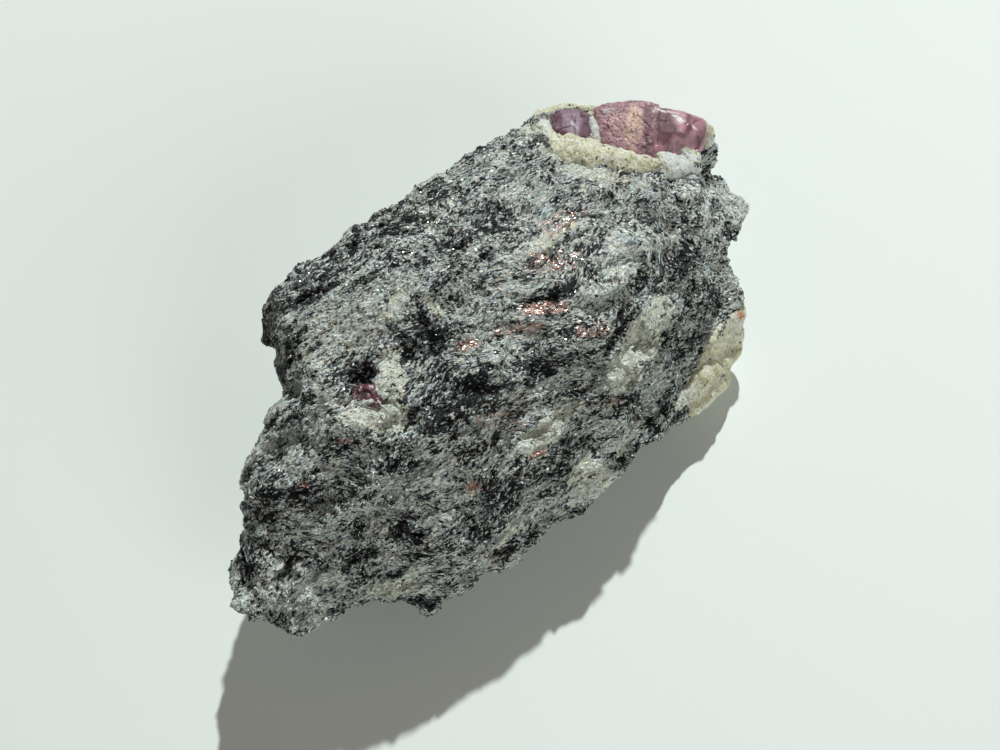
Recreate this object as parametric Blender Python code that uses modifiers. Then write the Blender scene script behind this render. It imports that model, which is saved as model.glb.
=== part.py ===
"""A hand specimen of mica gneiss that carries ruby crystals in a rim of feldspar.

The stone lies on a flat break in its underside: X runs along it, Y across it and Z up.
"""

import math

import bmesh
import bpy
from mathutils import Vector, geometry, noise

# Driving dimensions, in metres and radians
STONE_LENGTH = 0.1076
MM = STONE_LENGTH / 107.6
FIT_GAP = 0.3 * MM

# The viewpoint from which the outline was read, in a picture of 1000 x 750 pixels
VIEW_AZIMUTH = math.radians(-49.0)
VIEW_ELEVATION = math.radians(60.0)
VIEW_DISTANCE = 270.0 * MM
VIEW_TARGET = Vector((0.0, 0.0, 24.0 * MM))
PIXEL = 0.15 * MM
PICTURE_MIDDLE = (500.0, 375.0)
RIGHT = Vector((math.cos(VIEW_AZIMUTH), math.sin(VIEW_AZIMUTH), 0.0))
AWAY = Vector((-math.sin(VIEW_AZIMUTH), math.cos(VIEW_AZIMUTH), 0.0))
TO_VIEWER = Vector((0, 0, 1)) * math.sin(VIEW_ELEVATION) - AWAY * math.cos(VIEW_ELEVATION)
PICTURE_UP = TO_VIEWER.cross(RIGHT)
VIEWPOINT = VIEW_TARGET + TO_VIEWER * VIEW_DISTANCE

# Where the stone turns out of sight, clockwise: pixel across, pixel down, height in mm
RIM = [
    (512, 123, 33), (529, 112, 32), (545, 103, 31), (568, 101, 29.5), (600, 109, 28.6), (640, 108, 28),
    (672, 112, 27), (694, 120, 26), (708, 130, 24.5), (716, 144, 24), (713, 157, 23), (708, 164, 21.5),
    (708, 170, 20), (720, 171, 18), (730, 183, 17), (744, 190, 16), (758, 200, 15), (754, 217, 14),
    (745, 235, 13.5), (730, 251, 14), (736, 264, 14.5), (742, 284, 12.5), (743, 302, 10.5), (747, 331, 7),
    (742, 352, 5), (733, 368, 4.5), (730, 383, 4), (721, 397, 4), (698, 416, 5.5), (682, 430, 6),
    (660, 445, 7.5), (644, 452, 8.5), (627, 475, 9.5), (609, 490, 9.8), (592, 505, 10.3), (561, 524, 10),
    (537, 542, 9), (528, 556, 8), (513, 567, 8), (487, 578, 8), (458, 596, 9), (438, 608, 9),
    (424, 617, 9), (402, 609, 10), (374, 606, 11), (357, 611, 12), (341, 625, 12.5), (308, 638, 13),
    (286, 639, 13), (265, 632, 13.5), (239, 621, 14), (227, 609, 14.5), (222, 567, 16), (242, 548, 17.5),
    (246, 520, 19), (236, 487, 21.5), (239, 463, 23), (268, 431, 24), (279, 392, 24), (270, 356, 20),
    (256, 334, 20), (259, 312, 23), (275, 290, 27), (303, 258, 29), (320, 249, 29.5), (334, 239, 30),
    (348, 229, 30.5), (362, 219, 31), (378, 210, 31.5), (392, 202, 32), (409, 197, 32), (426, 185, 33),
    (441, 171, 33), (459, 159, 33), (487, 136, 33),
]

# The upper side within the rim: its crest first, then the broad face down to the front lip
CROWN = [
    (289, 338, 29.5), (289, 372, 28.5), (297, 310, 29.5), (318, 288, 31), (362, 262, 33), (420, 227, 35),
    (480, 187, 36), (540, 152, 35), (573, 148, 33), (604, 152, 32), (640, 154, 31.3), (690, 155, 28.5),
    (600, 172, 34), (655, 175, 32),
    (330, 330, 33), (385, 300, 36), (450, 265, 37), (520, 225, 37), (590, 200, 35.5), (650, 195, 32.5),
    (697, 190, 27), (716, 215, 20.5), (738, 213, 16.5), (315, 375, 33), (375, 350, 35), (440, 330, 35),
    (505, 300, 35), (570, 265, 34.5), (640, 240, 31.5), (700, 245, 23.5), (722, 280, 16), (296, 420, 30.5),
    (345, 415, 33.5), (405, 405, 33), (470, 385, 32.6), (540, 355, 31.3), (600, 325, 30), (655, 300, 25.2),
    (705, 310, 15.2), (270, 455, 26.5), (310, 460, 29), (365, 465, 30), (430, 455, 28.5), (500, 430, 26.5),
    (560, 400, 25), (620, 370, 22), (668, 345, 16.5), (700, 350, 11), (268, 505, 24), (320, 510, 25.5),
    (380, 515, 24.5), (445, 505, 23), (510, 480, 20.5), (570, 450, 19), (620, 420, 16.5), (655, 395, 13),
    (690, 378, 9.5), (262, 555, 19), (300, 565, 19.5), (350, 562, 19.5), (400, 560, 18), (455, 550, 17),
    (505, 528, 15), (555, 495, 14.5), (595, 478, 13.8), (635, 432, 12), (262, 595, 16.5), (300, 605, 16),
    (350, 590, 16), (425, 590, 13.5), (480, 560, 12),
]

# The hidden sides within the rim, as if seen through the stone: back, underside and front overhang
KEEL = [
    (278, 400, 13), (300, 330, 15), (350, 287, 15), (430, 235, 15), (500, 195, 15), (570, 160, 14),
    (640, 160, 13), (690, 180, 12), (728, 222, 9.5), (320, 388, 4), (380, 335, 3), (450, 285, 3),
    (530, 240, 3), (610, 215, 3), (668, 232, 4), (712, 266, 7), (262, 545, 9), (266, 480, 11),
    (292, 432, 6), (330, 462, -2), (400, 402, -2.5), (480, 342, -2.5), (560, 290, -2.5), (630, 275, -2),
    (385, 492, -2), (470, 437, -2.5), (550, 378, -2.5), (622, 330, -2), (292, 560, 6), (350, 568, 5),
    (440, 550, 4), (520, 495, 3.5), (590, 442, 4), (650, 388, 3), (692, 342, 3), (718, 322, 4),
]

# Just inside the rim both sides swell: how far in, and how far towards and away from the viewer
SHOULDER_INSET = 1.6 * MM
SHOULDER_LIFT = 0.9 * MM
SHOULDER_DROP = 2.6 * MM

# Hollows weathered into the upper side: pixel across, pixel down, radius in pixels, depth in mm
HOLLOWS = [
    (360, 379, 24, 3.0), (272, 458, 20, 2.0), (318, 502, 24, 1.2), (372, 428, 18, 0.9),
    (455, 300, 26, 1.0), (548, 462, 30, 1.4), (500, 290, 12, 0.8), (640, 345, 26, 0.8),
    (430, 585, 14, 1.0), (590, 240, 30, 0.7), (418, 250, 24, 0.9),
]

# Broken layer edges on the upper side: from, to, drop in mm beside the line, its reach in pixels
LEDGES = [
    ((606, 396), (500, 447), 1.1, 34), ((345, 280), (300, 296), 1.3, 26), ((420, 232), (345, 278), 0.9, 26),
    ((700, 235), (562, 305), 0.9, 40), ((520, 325), (400, 350), 0.9, 36), ((420, 500), (290, 525), 0.8, 34),
    ((700, 350), (640, 405), 1.0, 26), ((560, 470), (455, 520), 0.9, 30),
]
LEDGE_RUN = 9.0

# Foliation: the rock's layers dip to the front, and their grain rises to the right
GRAIN_TURN = math.radians(30.0)
LAYER_DIP = math.radians(22.0)

# Roughness of the broken surface: height in mm, then grain length, width and layer thickness in mm
RELIEF = [
    (0.7, (17.0, 17.0, 17.0)), (0.8, (8.0, 7.0, 6.0)), (1.1, (15.0, 5.0, 3.8)), (0.9, (6.0, 3.8, 3.2)),
    (0.6, (3.4, 2.4, 2.4)),
]
RELIEF_SHIFT = Vector((7.3, 3.1, 5.7))
ROCK_VOXEL = 1.3 * MM
ROCK_FACETS = 7400

# Feldspar: middle as pixel, pixel and height, reach along, across and into the rock in mm, slant
FELDSPARS = {
    "feldspar_rim": ((620, 136, 30.0), (14.6, 5.6, 8.5), math.radians(-5.0)),
    "feldspar_lump": ((718, 366, 6.5), (10.8, 4.1, 6.5), math.radians(57.0)),
}
FELDSPAR_ROUGHNESS = 0.7 * MM
FELDSPAR_BUMP = 4.0 * MM

# Ruby crystals are six-sided barrels: start and end as pixel, pixel and height, then the turn about
# the axis, then shares of the length with their radii in mm
RUBIES = {
    "ruby_large": (
        (592, 122, 29.6), (704, 136, 27.4), math.radians(20.0),
        [(0.0, 2.4), (0.1, 3.3), (0.3, 4.0), (0.45, 4.2), (0.62, 4.0), (0.82, 3.5), (0.95, 2.8), (1.0, 2.1)],
    ),
    "ruby_small": (
        (552, 125, 30.4), (589, 125, 29.9), math.radians(6.0),
        [(0.0, 1.6), (0.25, 2.5), (0.75, 2.5), (1.0, 1.9)],
    ),
    "ruby_in_hollow": (
        (356, 399, 31.0), (378, 394, 32.0), math.radians(34.0),
        [(0.0, 1.3), (0.3, 2.0), (0.8, 1.9), (1.0, 1.3)],
    ),
}
CRYSTAL_SPOKES = (1.0, 0.94, 1.05, 0.97, 1.03, 0.93)
WORN_EDGE = 0.3 * MM

# Material: colour and roughness
MATERIALS = {
    "gneiss": ((0.20, 0.21, 0.21), 0.62),
    "feldspar": ((0.72, 0.69, 0.52), 0.55),
    "ruby": ((0.36, 0.10, 0.15), 0.28),
}


def seen(across, down, height):
    """The point on the line of sight through a pixel that lies this many millimetres up."""
    ray = RIGHT * (across - PICTURE_MIDDLE[0]) * PIXEL
    ray += PICTURE_UP * (PICTURE_MIDDLE[1] - down) * PIXEL
    ray -= TO_VIEWER * VIEW_DISTANCE
    return VIEWPOINT + ray * (height * MM - VIEWPOINT.z) / ray.z


def pixel_of(point):
    """The pixel at which a point is seen."""
    line = point - VIEWPOINT
    scale = -VIEW_DISTANCE / line.dot(TO_VIEWER) / PIXEL
    return Vector((
        PICTURE_MIDDLE[0] + line.dot(RIGHT) * scale,
        PICTURE_MIDDLE[1] - line.dot(PICTURE_UP) * scale,
    ))


def layer_axes():
    """Unit vectors along the grain, across it within a layer, and square to the layers."""
    along = RIGHT * math.cos(GRAIN_TURN) + AWAY * math.sin(GRAIN_TURN)
    square = Vector((0, 0, 1)) * math.cos(LAYER_DIP) - AWAY * math.sin(LAYER_DIP)
    square = (square - along * square.dot(along)).normalized()
    return along, square.cross(along), square


def clear_scene():
    for obj in list(bpy.data.objects):
        bpy.data.objects.remove(obj)


def new_collection(name):
    collection = bpy.data.collections.new(name)
    bpy.context.scene.collection.children.link(collection)
    return collection


def new_material(name):
    colour, roughness = MATERIALS[name]
    material = bpy.data.materials.new(name)
    material.use_nodes = True
    shader = material.node_tree.nodes["Principled BSDF"]
    shader.inputs["Base Color"].default_value = (*colour, 1.0)
    shader.inputs["Roughness"].default_value = roughness
    return material


def face_outwards(shape):
    bmesh.ops.recalc_face_normals(shape, faces=shape.faces[:])
    if shape.calc_volume(signed=True) < 0.0:
        bmesh.ops.reverse_faces(shape, faces=shape.faces[:])


def add_object(name, shape, collection):
    """Turns a finished bmesh into an object."""
    face_outwards(shape)
    mesh = bpy.data.meshes.new(name)
    shape.to_mesh(mesh)
    shape.free()
    obj = bpy.data.objects.new(name, mesh)
    collection.objects.link(obj)
    return obj


def apply_modifiers(obj):
    graph = bpy.context.evaluated_depsgraph_get()
    mesh = bpy.data.meshes.new_from_object(obj.evaluated_get(graph))
    obj.modifiers.clear()
    obj.data = mesh


def boolean(obj, other, operation):
    modifier = obj.modifiers.new(other.name, "BOOLEAN")
    modifier.operation = operation
    modifier.solver = "MANIFOLD"
    modifier.object = other
    apply_modifiers(obj)


def grown_cutter(obj, gap, collection):
    """The same shape with every point moved out by a gap, to cut a socket with."""
    shape = bmesh.new()
    shape.from_mesh(obj.data)
    shape.normal_update()
    moves = [vertex.normal * gap for vertex in shape.verts]
    for vertex, move in zip(shape.verts, moves):
        vertex.co += move
    cutter = add_object(obj.name + "_cutter", shape, collection)
    cutter.hide_render = True
    cutter.display_type = "WIRE"
    return cutter


def inward(points, index):
    """The direction into the outline at one of its points, in the picture's plane."""
    before, after = points[index - 1], points[(index + 1) % len(points)]
    run = Vector((after[0] - before[0], before[1] - after[1])).normalized()
    return RIGHT * run.y - PICTURE_UP * run.x


def shoulders(lift):
    """Points just inside the rim, moved towards the viewer by the lift."""
    points = []
    for index, place in enumerate(RIM):
        points.append(seen(*place) + inward(RIM, index) * SHOULDER_INSET + TO_VIEWER * lift)
    return points


def add_sheet(cage, rim, inner_points, upper):
    """Stretches triangles from the rim over one side of the stone."""
    corners = rim + [cage.verts.new(point) for point in inner_points]
    flat = [pixel_of(vertex.co) * Vector((1, -1)) for vertex in corners]
    loop = list(range(len(rim)))[::-1]
    _, _, faces, sources, _, _ = geometry.delaunay_2d_cdt(flat, [], [loop], 1, 1e-4)
    for face in faces:
        chosen = [corners[sources[corner][0]] for corner in face]
        cage.faces.new(chosen if upper else chosen[::-1])


def stone_cage(collection):
    """The stone as flat breaks between the rim, the crown and the keel."""
    cage = bmesh.new()
    rim = [cage.verts.new(seen(*place)) for place in RIM]
    crown = shoulders(SHOULDER_LIFT) + [seen(*place) for place in CROWN]
    keel = shoulders(-SHOULDER_DROP) + [seen(*place) for place in KEEL]
    add_sheet(cage, rim, crown, upper=True)
    add_sheet(cage, rim, keel, upper=False)
    return add_object("stone", cage, collection)


def relief(point, axes):
    """How far the broken layers stand out at a point."""
    height = 0.0
    for index, (size, lengths) in enumerate(RELIEF):
        place = Vector([point.dot(axis) / (length * MM) for axis, length in zip(axes, lengths)])
        height += size * MM * noise.noise(place + RELIEF_SHIFT * index)
    return height


def hollow_depth(pixel):
    """How deep the weathered hollows are at a pixel of the upper side."""
    depth = 0.0
    for across, down, radius, deepest in HOLLOWS:
        share = (pixel - Vector((across, down))).length / radius
        if share < 1.0:
            depth += deepest * MM * (1.0 - share * share) ** 2
    return depth


def ledge_drop(pixel):
    """How far the surface lies lower beside the broken layer edges."""
    drop = 0.0
    for start, end, height, reach in LEDGES:
        run = Vector(end) - Vector(start)
        offset = pixel - Vector(start)
        share = offset.dot(run) / run.length_squared
        beside = offset.dot(Vector((run.y, -run.x)).normalized())
        if 0.0 < share < 1.0 and 0.0 < beside < reach:
            step = min(1.0, beside / LEDGE_RUN) * (1.0 - beside / reach)
            drop += height * MM * math.sin(math.pi * share) ** 0.5 * step
    return drop


def roughen(obj):
    """Moves each point of the stone by the relief, the hollows and the ledges."""
    axes = layer_axes()
    moves = []
    for vertex in obj.data.vertices:
        pixel = pixel_of(vertex.co)
        facing = min(1.0, 2.0 * max(0.0, vertex.normal.dot(TO_VIEWER)))
        move = relief(vertex.co, axes) - (hollow_depth(pixel) + ledge_drop(pixel)) * facing
        moves.append(vertex.normal * move)
    for vertex, move in zip(obj.data.vertices, moves):
        vertex.co += move


def cut_flat(obj):
    """Breaks the underside off along the ground and closes it."""
    shape = bmesh.new()
    shape.from_mesh(obj.data)
    everything = shape.verts[:] + shape.edges[:] + shape.faces[:]
    found = bmesh.ops.bisect_plane(
        shape, geom=everything, plane_co=(0, 0, 0), plane_no=(0, 0, -1), clear_outer=True
    )
    edges = [item for item in found["geom_cut"] if isinstance(item, bmesh.types.BMEdge)]
    bmesh.ops.triangle_fill(shape, edges=edges, use_beauty=True)
    bmesh.ops.triangulate(shape, faces=shape.faces[:])
    face_outwards(shape)
    shape.to_mesh(obj.data)
    shape.free()


def rough_stone(collection):
    """The whole stone before its minerals are parted."""
    stone = stone_cage(collection)
    remesh = stone.modifiers.new("even_facets", "REMESH")
    remesh.mode = "VOXEL"
    remesh.voxel_size = ROCK_VOXEL
    apply_modifiers(stone)
    roughen(stone)
    facets = stone.modifiers.new("broad_facets", "DECIMATE")
    facets.ratio = ROCK_FACETS / (2 * len(stone.data.polygons))
    apply_modifiers(stone)
    cut_flat(stone)
    return stone


def feldspar_mass(name, middle, reach, turn, collection):
    """An uneven rounded body that marks how far a feldspar mass reaches."""
    shape = bmesh.new()
    bmesh.ops.create_icosphere(shape, subdivisions=3, radius=1.0)
    along = RIGHT * math.cos(turn) + PICTURE_UP * math.sin(turn)
    axes = (along, TO_VIEWER.cross(along), TO_VIEWER)
    centre = seen(*middle)
    for vertex in shape.verts:
        offset = Vector()
        for axis, part, length in zip(axes, vertex.co, reach):
            offset += axis * part * length * MM
        uneven = FELDSPAR_ROUGHNESS * noise.noise((centre + offset) / FELDSPAR_BUMP)
        vertex.co = centre + offset + offset.normalized() * uneven
    mass = add_object(name, shape, collection)
    mass.hide_render = True
    mass.display_type = "WIRE"
    return mass


def barrel_crystal(name, start, end, turn, radii, collection):
    """A six-sided crystal with worn edges that swells and narrows along its length."""
    start, end = seen(*start), seen(*end)
    axis = (end - start).normalized()
    side = axis.cross(TO_VIEWER).normalized()
    up = side.cross(axis)
    sides = len(CRYSTAL_SPOKES)
    shape = bmesh.new()
    rings = []
    for share, radius in radii:
        ring = []
        for corner, stretch in enumerate(CRYSTAL_SPOKES):
            angle = turn + math.tau * corner / sides
            spoke = (side * math.cos(angle) + up * math.sin(angle)) * radius * stretch * MM
            ring.append(shape.verts.new(start.lerp(end, share) + spoke))
        rings.append(ring)
    for near, far in zip(rings, rings[1:]):
        for corner in range(sides):
            after = (corner + 1) % sides
            shape.faces.new((near[corner], near[after], far[after], far[corner]))
    shape.faces.new(rings[0][::-1])
    shape.faces.new(rings[-1])
    crystal = add_object(name, shape, collection)
    bevel = crystal.modifiers.new("worn_edges", "BEVEL")
    bevel.width = WORN_EDGE
    bevel.segments = 1
    apply_modifiers(crystal)
    return crystal


def stand_at_origin(objects):
    """Moves everything so that the origin is below the middle, on the ground."""
    corners = [vertex.co for obj in objects for vertex in obj.data.vertices]
    low = [min(corner[axis] for corner in corners) for axis in range(3)]
    high = [max(corner[axis] for corner in corners) for axis in range(3)]
    shift = Vector(((low[0] + high[0]) / 2, (low[1] + high[1]) / 2, low[2]))
    for obj in objects:
        for vertex in obj.data.vertices:
            vertex.co -= shift
    return shift


def main():
    clear_scene()
    specimen = new_collection("ruby_in_matrix")
    cutters = new_collection("cutters")
    gneiss, feldspar, ruby = [new_material(name) for name in MATERIALS]

    matrix = rough_stone(specimen)
    matrix.name = "gneiss_matrix"
    feldspars = []
    for name, layout in FELDSPARS.items():
        mass = feldspar_mass(name + "_mass", *layout, cutters)
        piece = bpy.data.objects.new(name, matrix.data.copy())
        specimen.objects.link(piece)
        boolean(piece, mass, "INTERSECT")
        boolean(matrix, grown_cutter(mass, FIT_GAP, cutters), "DIFFERENCE")
        feldspars.append(piece)

    crystals = []
    for name, layout in RUBIES.items():
        crystal = barrel_crystal(name, *layout, specimen)
        socket = grown_cutter(crystal, FIT_GAP, cutters)
        for piece in [matrix] + feldspars:
            boolean(piece, socket, "DIFFERENCE")
        crystals.append(crystal)

    for pieces, material in (([matrix], gneiss), (feldspars, feldspar), (crystals, ruby)):
        for piece in pieces:
            piece.data.materials.clear()
            piece.data.materials.append(material)
    return stand_at_origin([matrix] + feldspars + crystals)


main()
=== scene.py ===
# %% [markdown]
# # Ruby crystals in a dark mica gneiss
# The object is one hand-sized chunk of dark, layered rock. A pink ruby crystal lies along its upper
# end in a rim of cream feldspar, a smaller purple one beside it, and a third sits in a dark hollow.
# The solids come from the CAD frame. This script gives each of them its fine shape and its finish.

# %% Load the frame
import math

import bmesh
import bpy
import numpy as np
from mathutils import Matrix, Vector, noise
from mathutils.bvhtree import BVHTree


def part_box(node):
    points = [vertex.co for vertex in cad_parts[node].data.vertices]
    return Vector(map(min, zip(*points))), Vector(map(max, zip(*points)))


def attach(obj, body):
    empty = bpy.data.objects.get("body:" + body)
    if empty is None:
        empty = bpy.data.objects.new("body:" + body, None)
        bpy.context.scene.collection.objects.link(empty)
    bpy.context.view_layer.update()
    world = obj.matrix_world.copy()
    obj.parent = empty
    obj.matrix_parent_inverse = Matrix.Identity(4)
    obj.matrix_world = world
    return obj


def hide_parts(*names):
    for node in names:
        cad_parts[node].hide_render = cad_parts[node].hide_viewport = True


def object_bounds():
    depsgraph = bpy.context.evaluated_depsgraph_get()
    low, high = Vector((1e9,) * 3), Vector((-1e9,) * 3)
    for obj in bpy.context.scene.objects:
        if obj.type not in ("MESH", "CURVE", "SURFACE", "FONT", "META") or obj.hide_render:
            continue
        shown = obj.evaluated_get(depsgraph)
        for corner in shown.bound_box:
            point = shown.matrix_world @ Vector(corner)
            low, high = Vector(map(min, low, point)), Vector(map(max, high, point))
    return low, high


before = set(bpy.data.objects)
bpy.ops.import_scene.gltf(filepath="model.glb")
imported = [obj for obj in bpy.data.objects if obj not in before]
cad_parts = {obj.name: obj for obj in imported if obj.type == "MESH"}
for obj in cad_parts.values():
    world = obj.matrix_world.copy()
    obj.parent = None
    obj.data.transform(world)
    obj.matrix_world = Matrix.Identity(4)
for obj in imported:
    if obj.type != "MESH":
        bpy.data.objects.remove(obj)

MM = 0.001
UP = Vector((0, 0, 1))
# the noise that bends the layers starts from the clock if it gets no seed
NOISE_SEED = 3
noise.seed_set(NOISE_SEED)
scene = bpy.context.scene
CAD_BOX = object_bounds()
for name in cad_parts:
    low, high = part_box(name)
    print(name, "is", [round(side / MM, 1) for side in high - low], "mm")

# %% [markdown]
# ## Camera
# The stone was photographed from its front left, looking steeply down. A real camera has one point
# of view, so every place in the picture is a line through space. Keeping that line as a function
# lets each vein and crystal below be put where the picture shows it, on the real surface.

# %% The camera and its lines of sight
PICTURE_SIZE = (1000, 750)
VIEW_AZIMUTH = math.radians(-49)
VIEW_ELEVATION = math.radians(60)
VIEW_TARGET = Vector((-2.773, -7.059, 24.0)) * MM
VIEW_DISTANCE = 270 * MM
VIEW_WIDTH = 150 * MM
SENSOR_WIDTH = 36
NEAREST_SEEN = 10 * MM

RIGHT = Vector((math.cos(VIEW_AZIMUTH), math.sin(VIEW_AZIMUTH), 0))
AWAY = Vector((-math.sin(VIEW_AZIMUTH), math.cos(VIEW_AZIMUTH), 0))
TO_VIEWER = UP * math.sin(VIEW_ELEVATION) - AWAY * math.cos(VIEW_ELEVATION)
PICTURE_UP = TO_VIEWER.cross(RIGHT)
VIEWPOINT = VIEW_TARGET + TO_VIEWER * VIEW_DISTANCE

camera_data = bpy.data.cameras.new("camera")
camera_data.sensor_width = SENSOR_WIDTH
camera_data.lens = SENSOR_WIDTH * VIEW_DISTANCE / VIEW_WIDTH
camera_data.clip_start = NEAREST_SEEN
camera = bpy.data.objects.new("camera", camera_data)
camera.location = VIEWPOINT
camera.rotation_mode = "QUATERNION"
camera.rotation_quaternion = (-TO_VIEWER).to_track_quat("-Z", "Y")
scene.collection.objects.link(camera)
scene.camera = camera
scene.view_settings.view_transform = "Standard"


def line_of_sight(across, down):
    """The direction in which the camera sees one point of the picture."""
    pixel = VIEW_WIDTH / PICTURE_SIZE[0]
    sideways = (across - PICTURE_SIZE[0] / 2) * pixel
    upwards = (PICTURE_SIZE[1] / 2 - down) * pixel
    aim = VIEW_TARGET + RIGHT * sideways + PICTURE_UP * upwards
    return (aim - VIEWPOINT).normalized()


print("lens", round(camera_data.lens, 1), "mm")

# %% [markdown]
# ## Floor and light
# The stone lies on plain pale card in sunlight: one hard, small lamp behind it and a little to the
# right throws a sharp shadow towards the viewer, and the pale room fills that shadow. A disc of a few
# centimetres, far away, gives an edge nearly as sharp as the sun does. Part of the fill comes from all
# round, from a plain world, and the rest from a wide soft disc in front, like a room's bright side.

# %% Floor, lamp and fill
FLOOR_SIZE = 3.0
FLOOR_COLOUR = (0.835, 0.912, 0.855)
FLOOR_SUNNY_COLOUR = (0.920, 0.992, 0.965)
LAMP_DISTANCE = 1.5
LAMP_WIDTH = 0.045
LAMP_POWER = 20.5
LAMP_COLOUR = (0.97, 1.0, 1.0)
LAMP_HEIGHT_ANGLE = math.radians(44)
LAMP_TO_THE_RIGHT = 0.09
FILL_COLOUR = (1.12, 1.0, 0.88)
FILL_STRENGTH = 0.10
FRONT_DISTANCE = 1.6
FRONT_WIDTH = 1.1
FRONT_POWER = 7.8
FRONT_COLOUR = (1.02, 1.0, 0.98)
FRONT_TOWARDS_VIEWER = 0.74
FRONT_TO_THE_RIGHT = 0.52
FRONT_UPWARDS = 0.42

TO_LAMP = (
    AWAY * math.cos(LAMP_HEIGHT_ANGLE) + RIGHT * LAMP_TO_THE_RIGHT + UP * math.sin(LAMP_HEIGHT_ANGLE)
).normalized()
TO_FRONT = (-AWAY * FRONT_TOWARDS_VIEWER + RIGHT * FRONT_TO_THE_RIGHT + UP * FRONT_UPWARDS).normalized()


def add_floor():
    bpy.ops.mesh.primitive_plane_add(size=FLOOR_SIZE)
    floor = bpy.context.object
    floor.name = "floor"
    return floor


def add_disc_light(name, direction, distance, width, power, colour):
    """A disc of light that is aimed at the stone from one direction."""
    data = bpy.data.lights.new(name, "AREA")
    data.shape = "DISK"
    data.size = width
    data.energy = power
    data.color = colour
    light = bpy.data.objects.new(name, data)
    light.location = direction * distance
    light.rotation_mode = "QUATERNION"
    light.rotation_quaternion = direction.to_track_quat("Z", "Y")
    scene.collection.objects.link(light)


def add_fill():
    world = bpy.data.worlds.new("pale_room")
    world.use_nodes = True
    background = world.node_tree.nodes["Background"]
    background.inputs["Color"].default_value = (*FILL_COLOUR, 1)
    background.inputs["Strength"].default_value = FILL_STRENGTH
    scene.world = world


floor = add_floor()
add_disc_light("low_sun", TO_LAMP, LAMP_DISTANCE, LAMP_WIDTH, LAMP_POWER, LAMP_COLOUR)
add_disc_light("room_in_front", TO_FRONT, FRONT_DISTANCE, FRONT_WIDTH, FRONT_POWER, FRONT_COLOUR)
add_fill()
print("lamp seen from the stone:", round(math.degrees(LAMP_WIDTH / LAMP_DISTANCE), 1), "degrees wide")

# %% [markdown]
# ## Places on the stone
# A vein seen in the picture has to lie on the stone itself, so that it is right from every side.
# A ray along the line of sight finds the first solid that it meets. A BVH tree makes that quick.

# %% Find the place that a point of the picture shows


def tree_of(objects):
    """One search tree over the faces of several objects."""
    corners = []
    faces = []
    for piece in objects:
        first = len(corners)
        corners += [piece.matrix_world @ vertex.co for vertex in piece.data.vertices]
        faces += [[first + index for index in face.vertices] for face in piece.data.polygons]
    return BVHTree.FromPolygons(corners, faces)


STONE_TREE = tree_of(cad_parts.values())


def place_on_stone(across, down):
    """The point of the stone that the picture shows at one pixel."""
    place = STONE_TREE.ray_cast(VIEWPOINT, line_of_sight(across, down))[0]
    if place is None:
        raise ValueError(f"the stone isn't seen at {across}, {down}")
    return place


def seen_at_height(across, down, height):
    """The point at a height in mm over the floor that the picture shows at one pixel."""
    sight = line_of_sight(across, down)
    return VIEWPOINT + sight * ((height * MM - VIEWPOINT.z) / sight.z)


print("middle of the top:", [round(part / MM, 1) for part in place_on_stone(520, 330)], "mm")

# %% [markdown]
# ## The grain of the rock
# Gneiss was squeezed until its flakes of mica lay flat and in line. It splits, streaks and glitters
# along those layers, so almost every pattern on it follows three directions: along the streaks,
# across them in the layer, and square to the layer. A slow noise bends the layers as real folds do.

# %% Directions of the layers
GRAIN_TURN = math.radians(30)
LAYER_DIP = math.radians(22)
FOLDS = ((26.0, 5.0), (9.0, 1.7), (3.4, 0.5))


def layer_directions():
    along = RIGHT * math.cos(GRAIN_TURN) + AWAY * math.sin(GRAIN_TURN)
    square = UP * math.cos(LAYER_DIP) - AWAY * math.sin(LAYER_DIP)
    square = (square - along * square.dot(along)).normalized()
    return along, square.cross(along), square


ALONG, ACROSS, SQUARE = layer_directions()


def grain_place(place):
    """A point given along, across and square to the bent layers, in millimetres."""
    grain = Vector((place.dot(ALONG), place.dot(ACROSS), place.dot(SQUARE))) / MM
    for size, height in FOLDS:
        grain += noise.noise_vector(place / (size * MM)) * height
    return grain


def local_along(place):
    """The direction of the streaks at a place, which the folds have turned."""
    step = 0.3 * MM
    here = grain_place(place)
    slopes = [(grain_place(place + axis * step) - here) * (MM / step) for axis in (ALONG, ACROSS, SQUARE)]
    turned = Matrix(slopes).transposed().inverted_safe() @ Vector((1, 0, 0))
    return (ALONG * turned.x + ACROSS * turned.y + SQUARE * turned.z).normalized()


print("layers dip", round(math.degrees(LAYER_DIP)), "degrees towards the viewer")

# %% [markdown]
# ## The skin of the rock
# The CAD solid has the right ledges, pits and lobes in facets of about two millimetres. The real
# surface is broken far finer: every mineral grain broke on a flat face of its own. A displacement
# modifier could do it, but here the roughness has to follow the grain, so each point of an evenly
# remeshed copy is moved by a few patterns that are stretched along the layers. A decimation then
# takes triangles away where the surface is flat and leaves them where it is rough.

# %% Copy, remesh and smooth a solid
SKIN_VOXEL = 0.31 * MM
SKIN_TRIANGLES = 192000
SKIN_SHARPEST = 38
TOUCHING = 0.001 * MM
SOFTENING = 0.5


def merged_copy(name, node):
    """A new piece with the CAD node's shape, its touching corners joined."""
    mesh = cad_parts[node].data.copy()
    mesh.name = name
    work = bmesh.new()
    work.from_mesh(mesh)
    bmesh.ops.remove_doubles(work, verts=work.verts, dist=TOUCHING)
    work.to_mesh(mesh)
    work.free()
    piece = bpy.data.objects.new(name, mesh)
    scene.collection.objects.link(piece)
    return piece


def apply_modifiers(piece):
    """Puts what the piece's modifiers make into its own mesh."""
    depsgraph = bpy.context.evaluated_depsgraph_get()
    made = bpy.data.meshes.new_from_object(piece.evaluated_get(depsgraph))
    piece.modifiers.clear()
    piece.data = made


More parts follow.
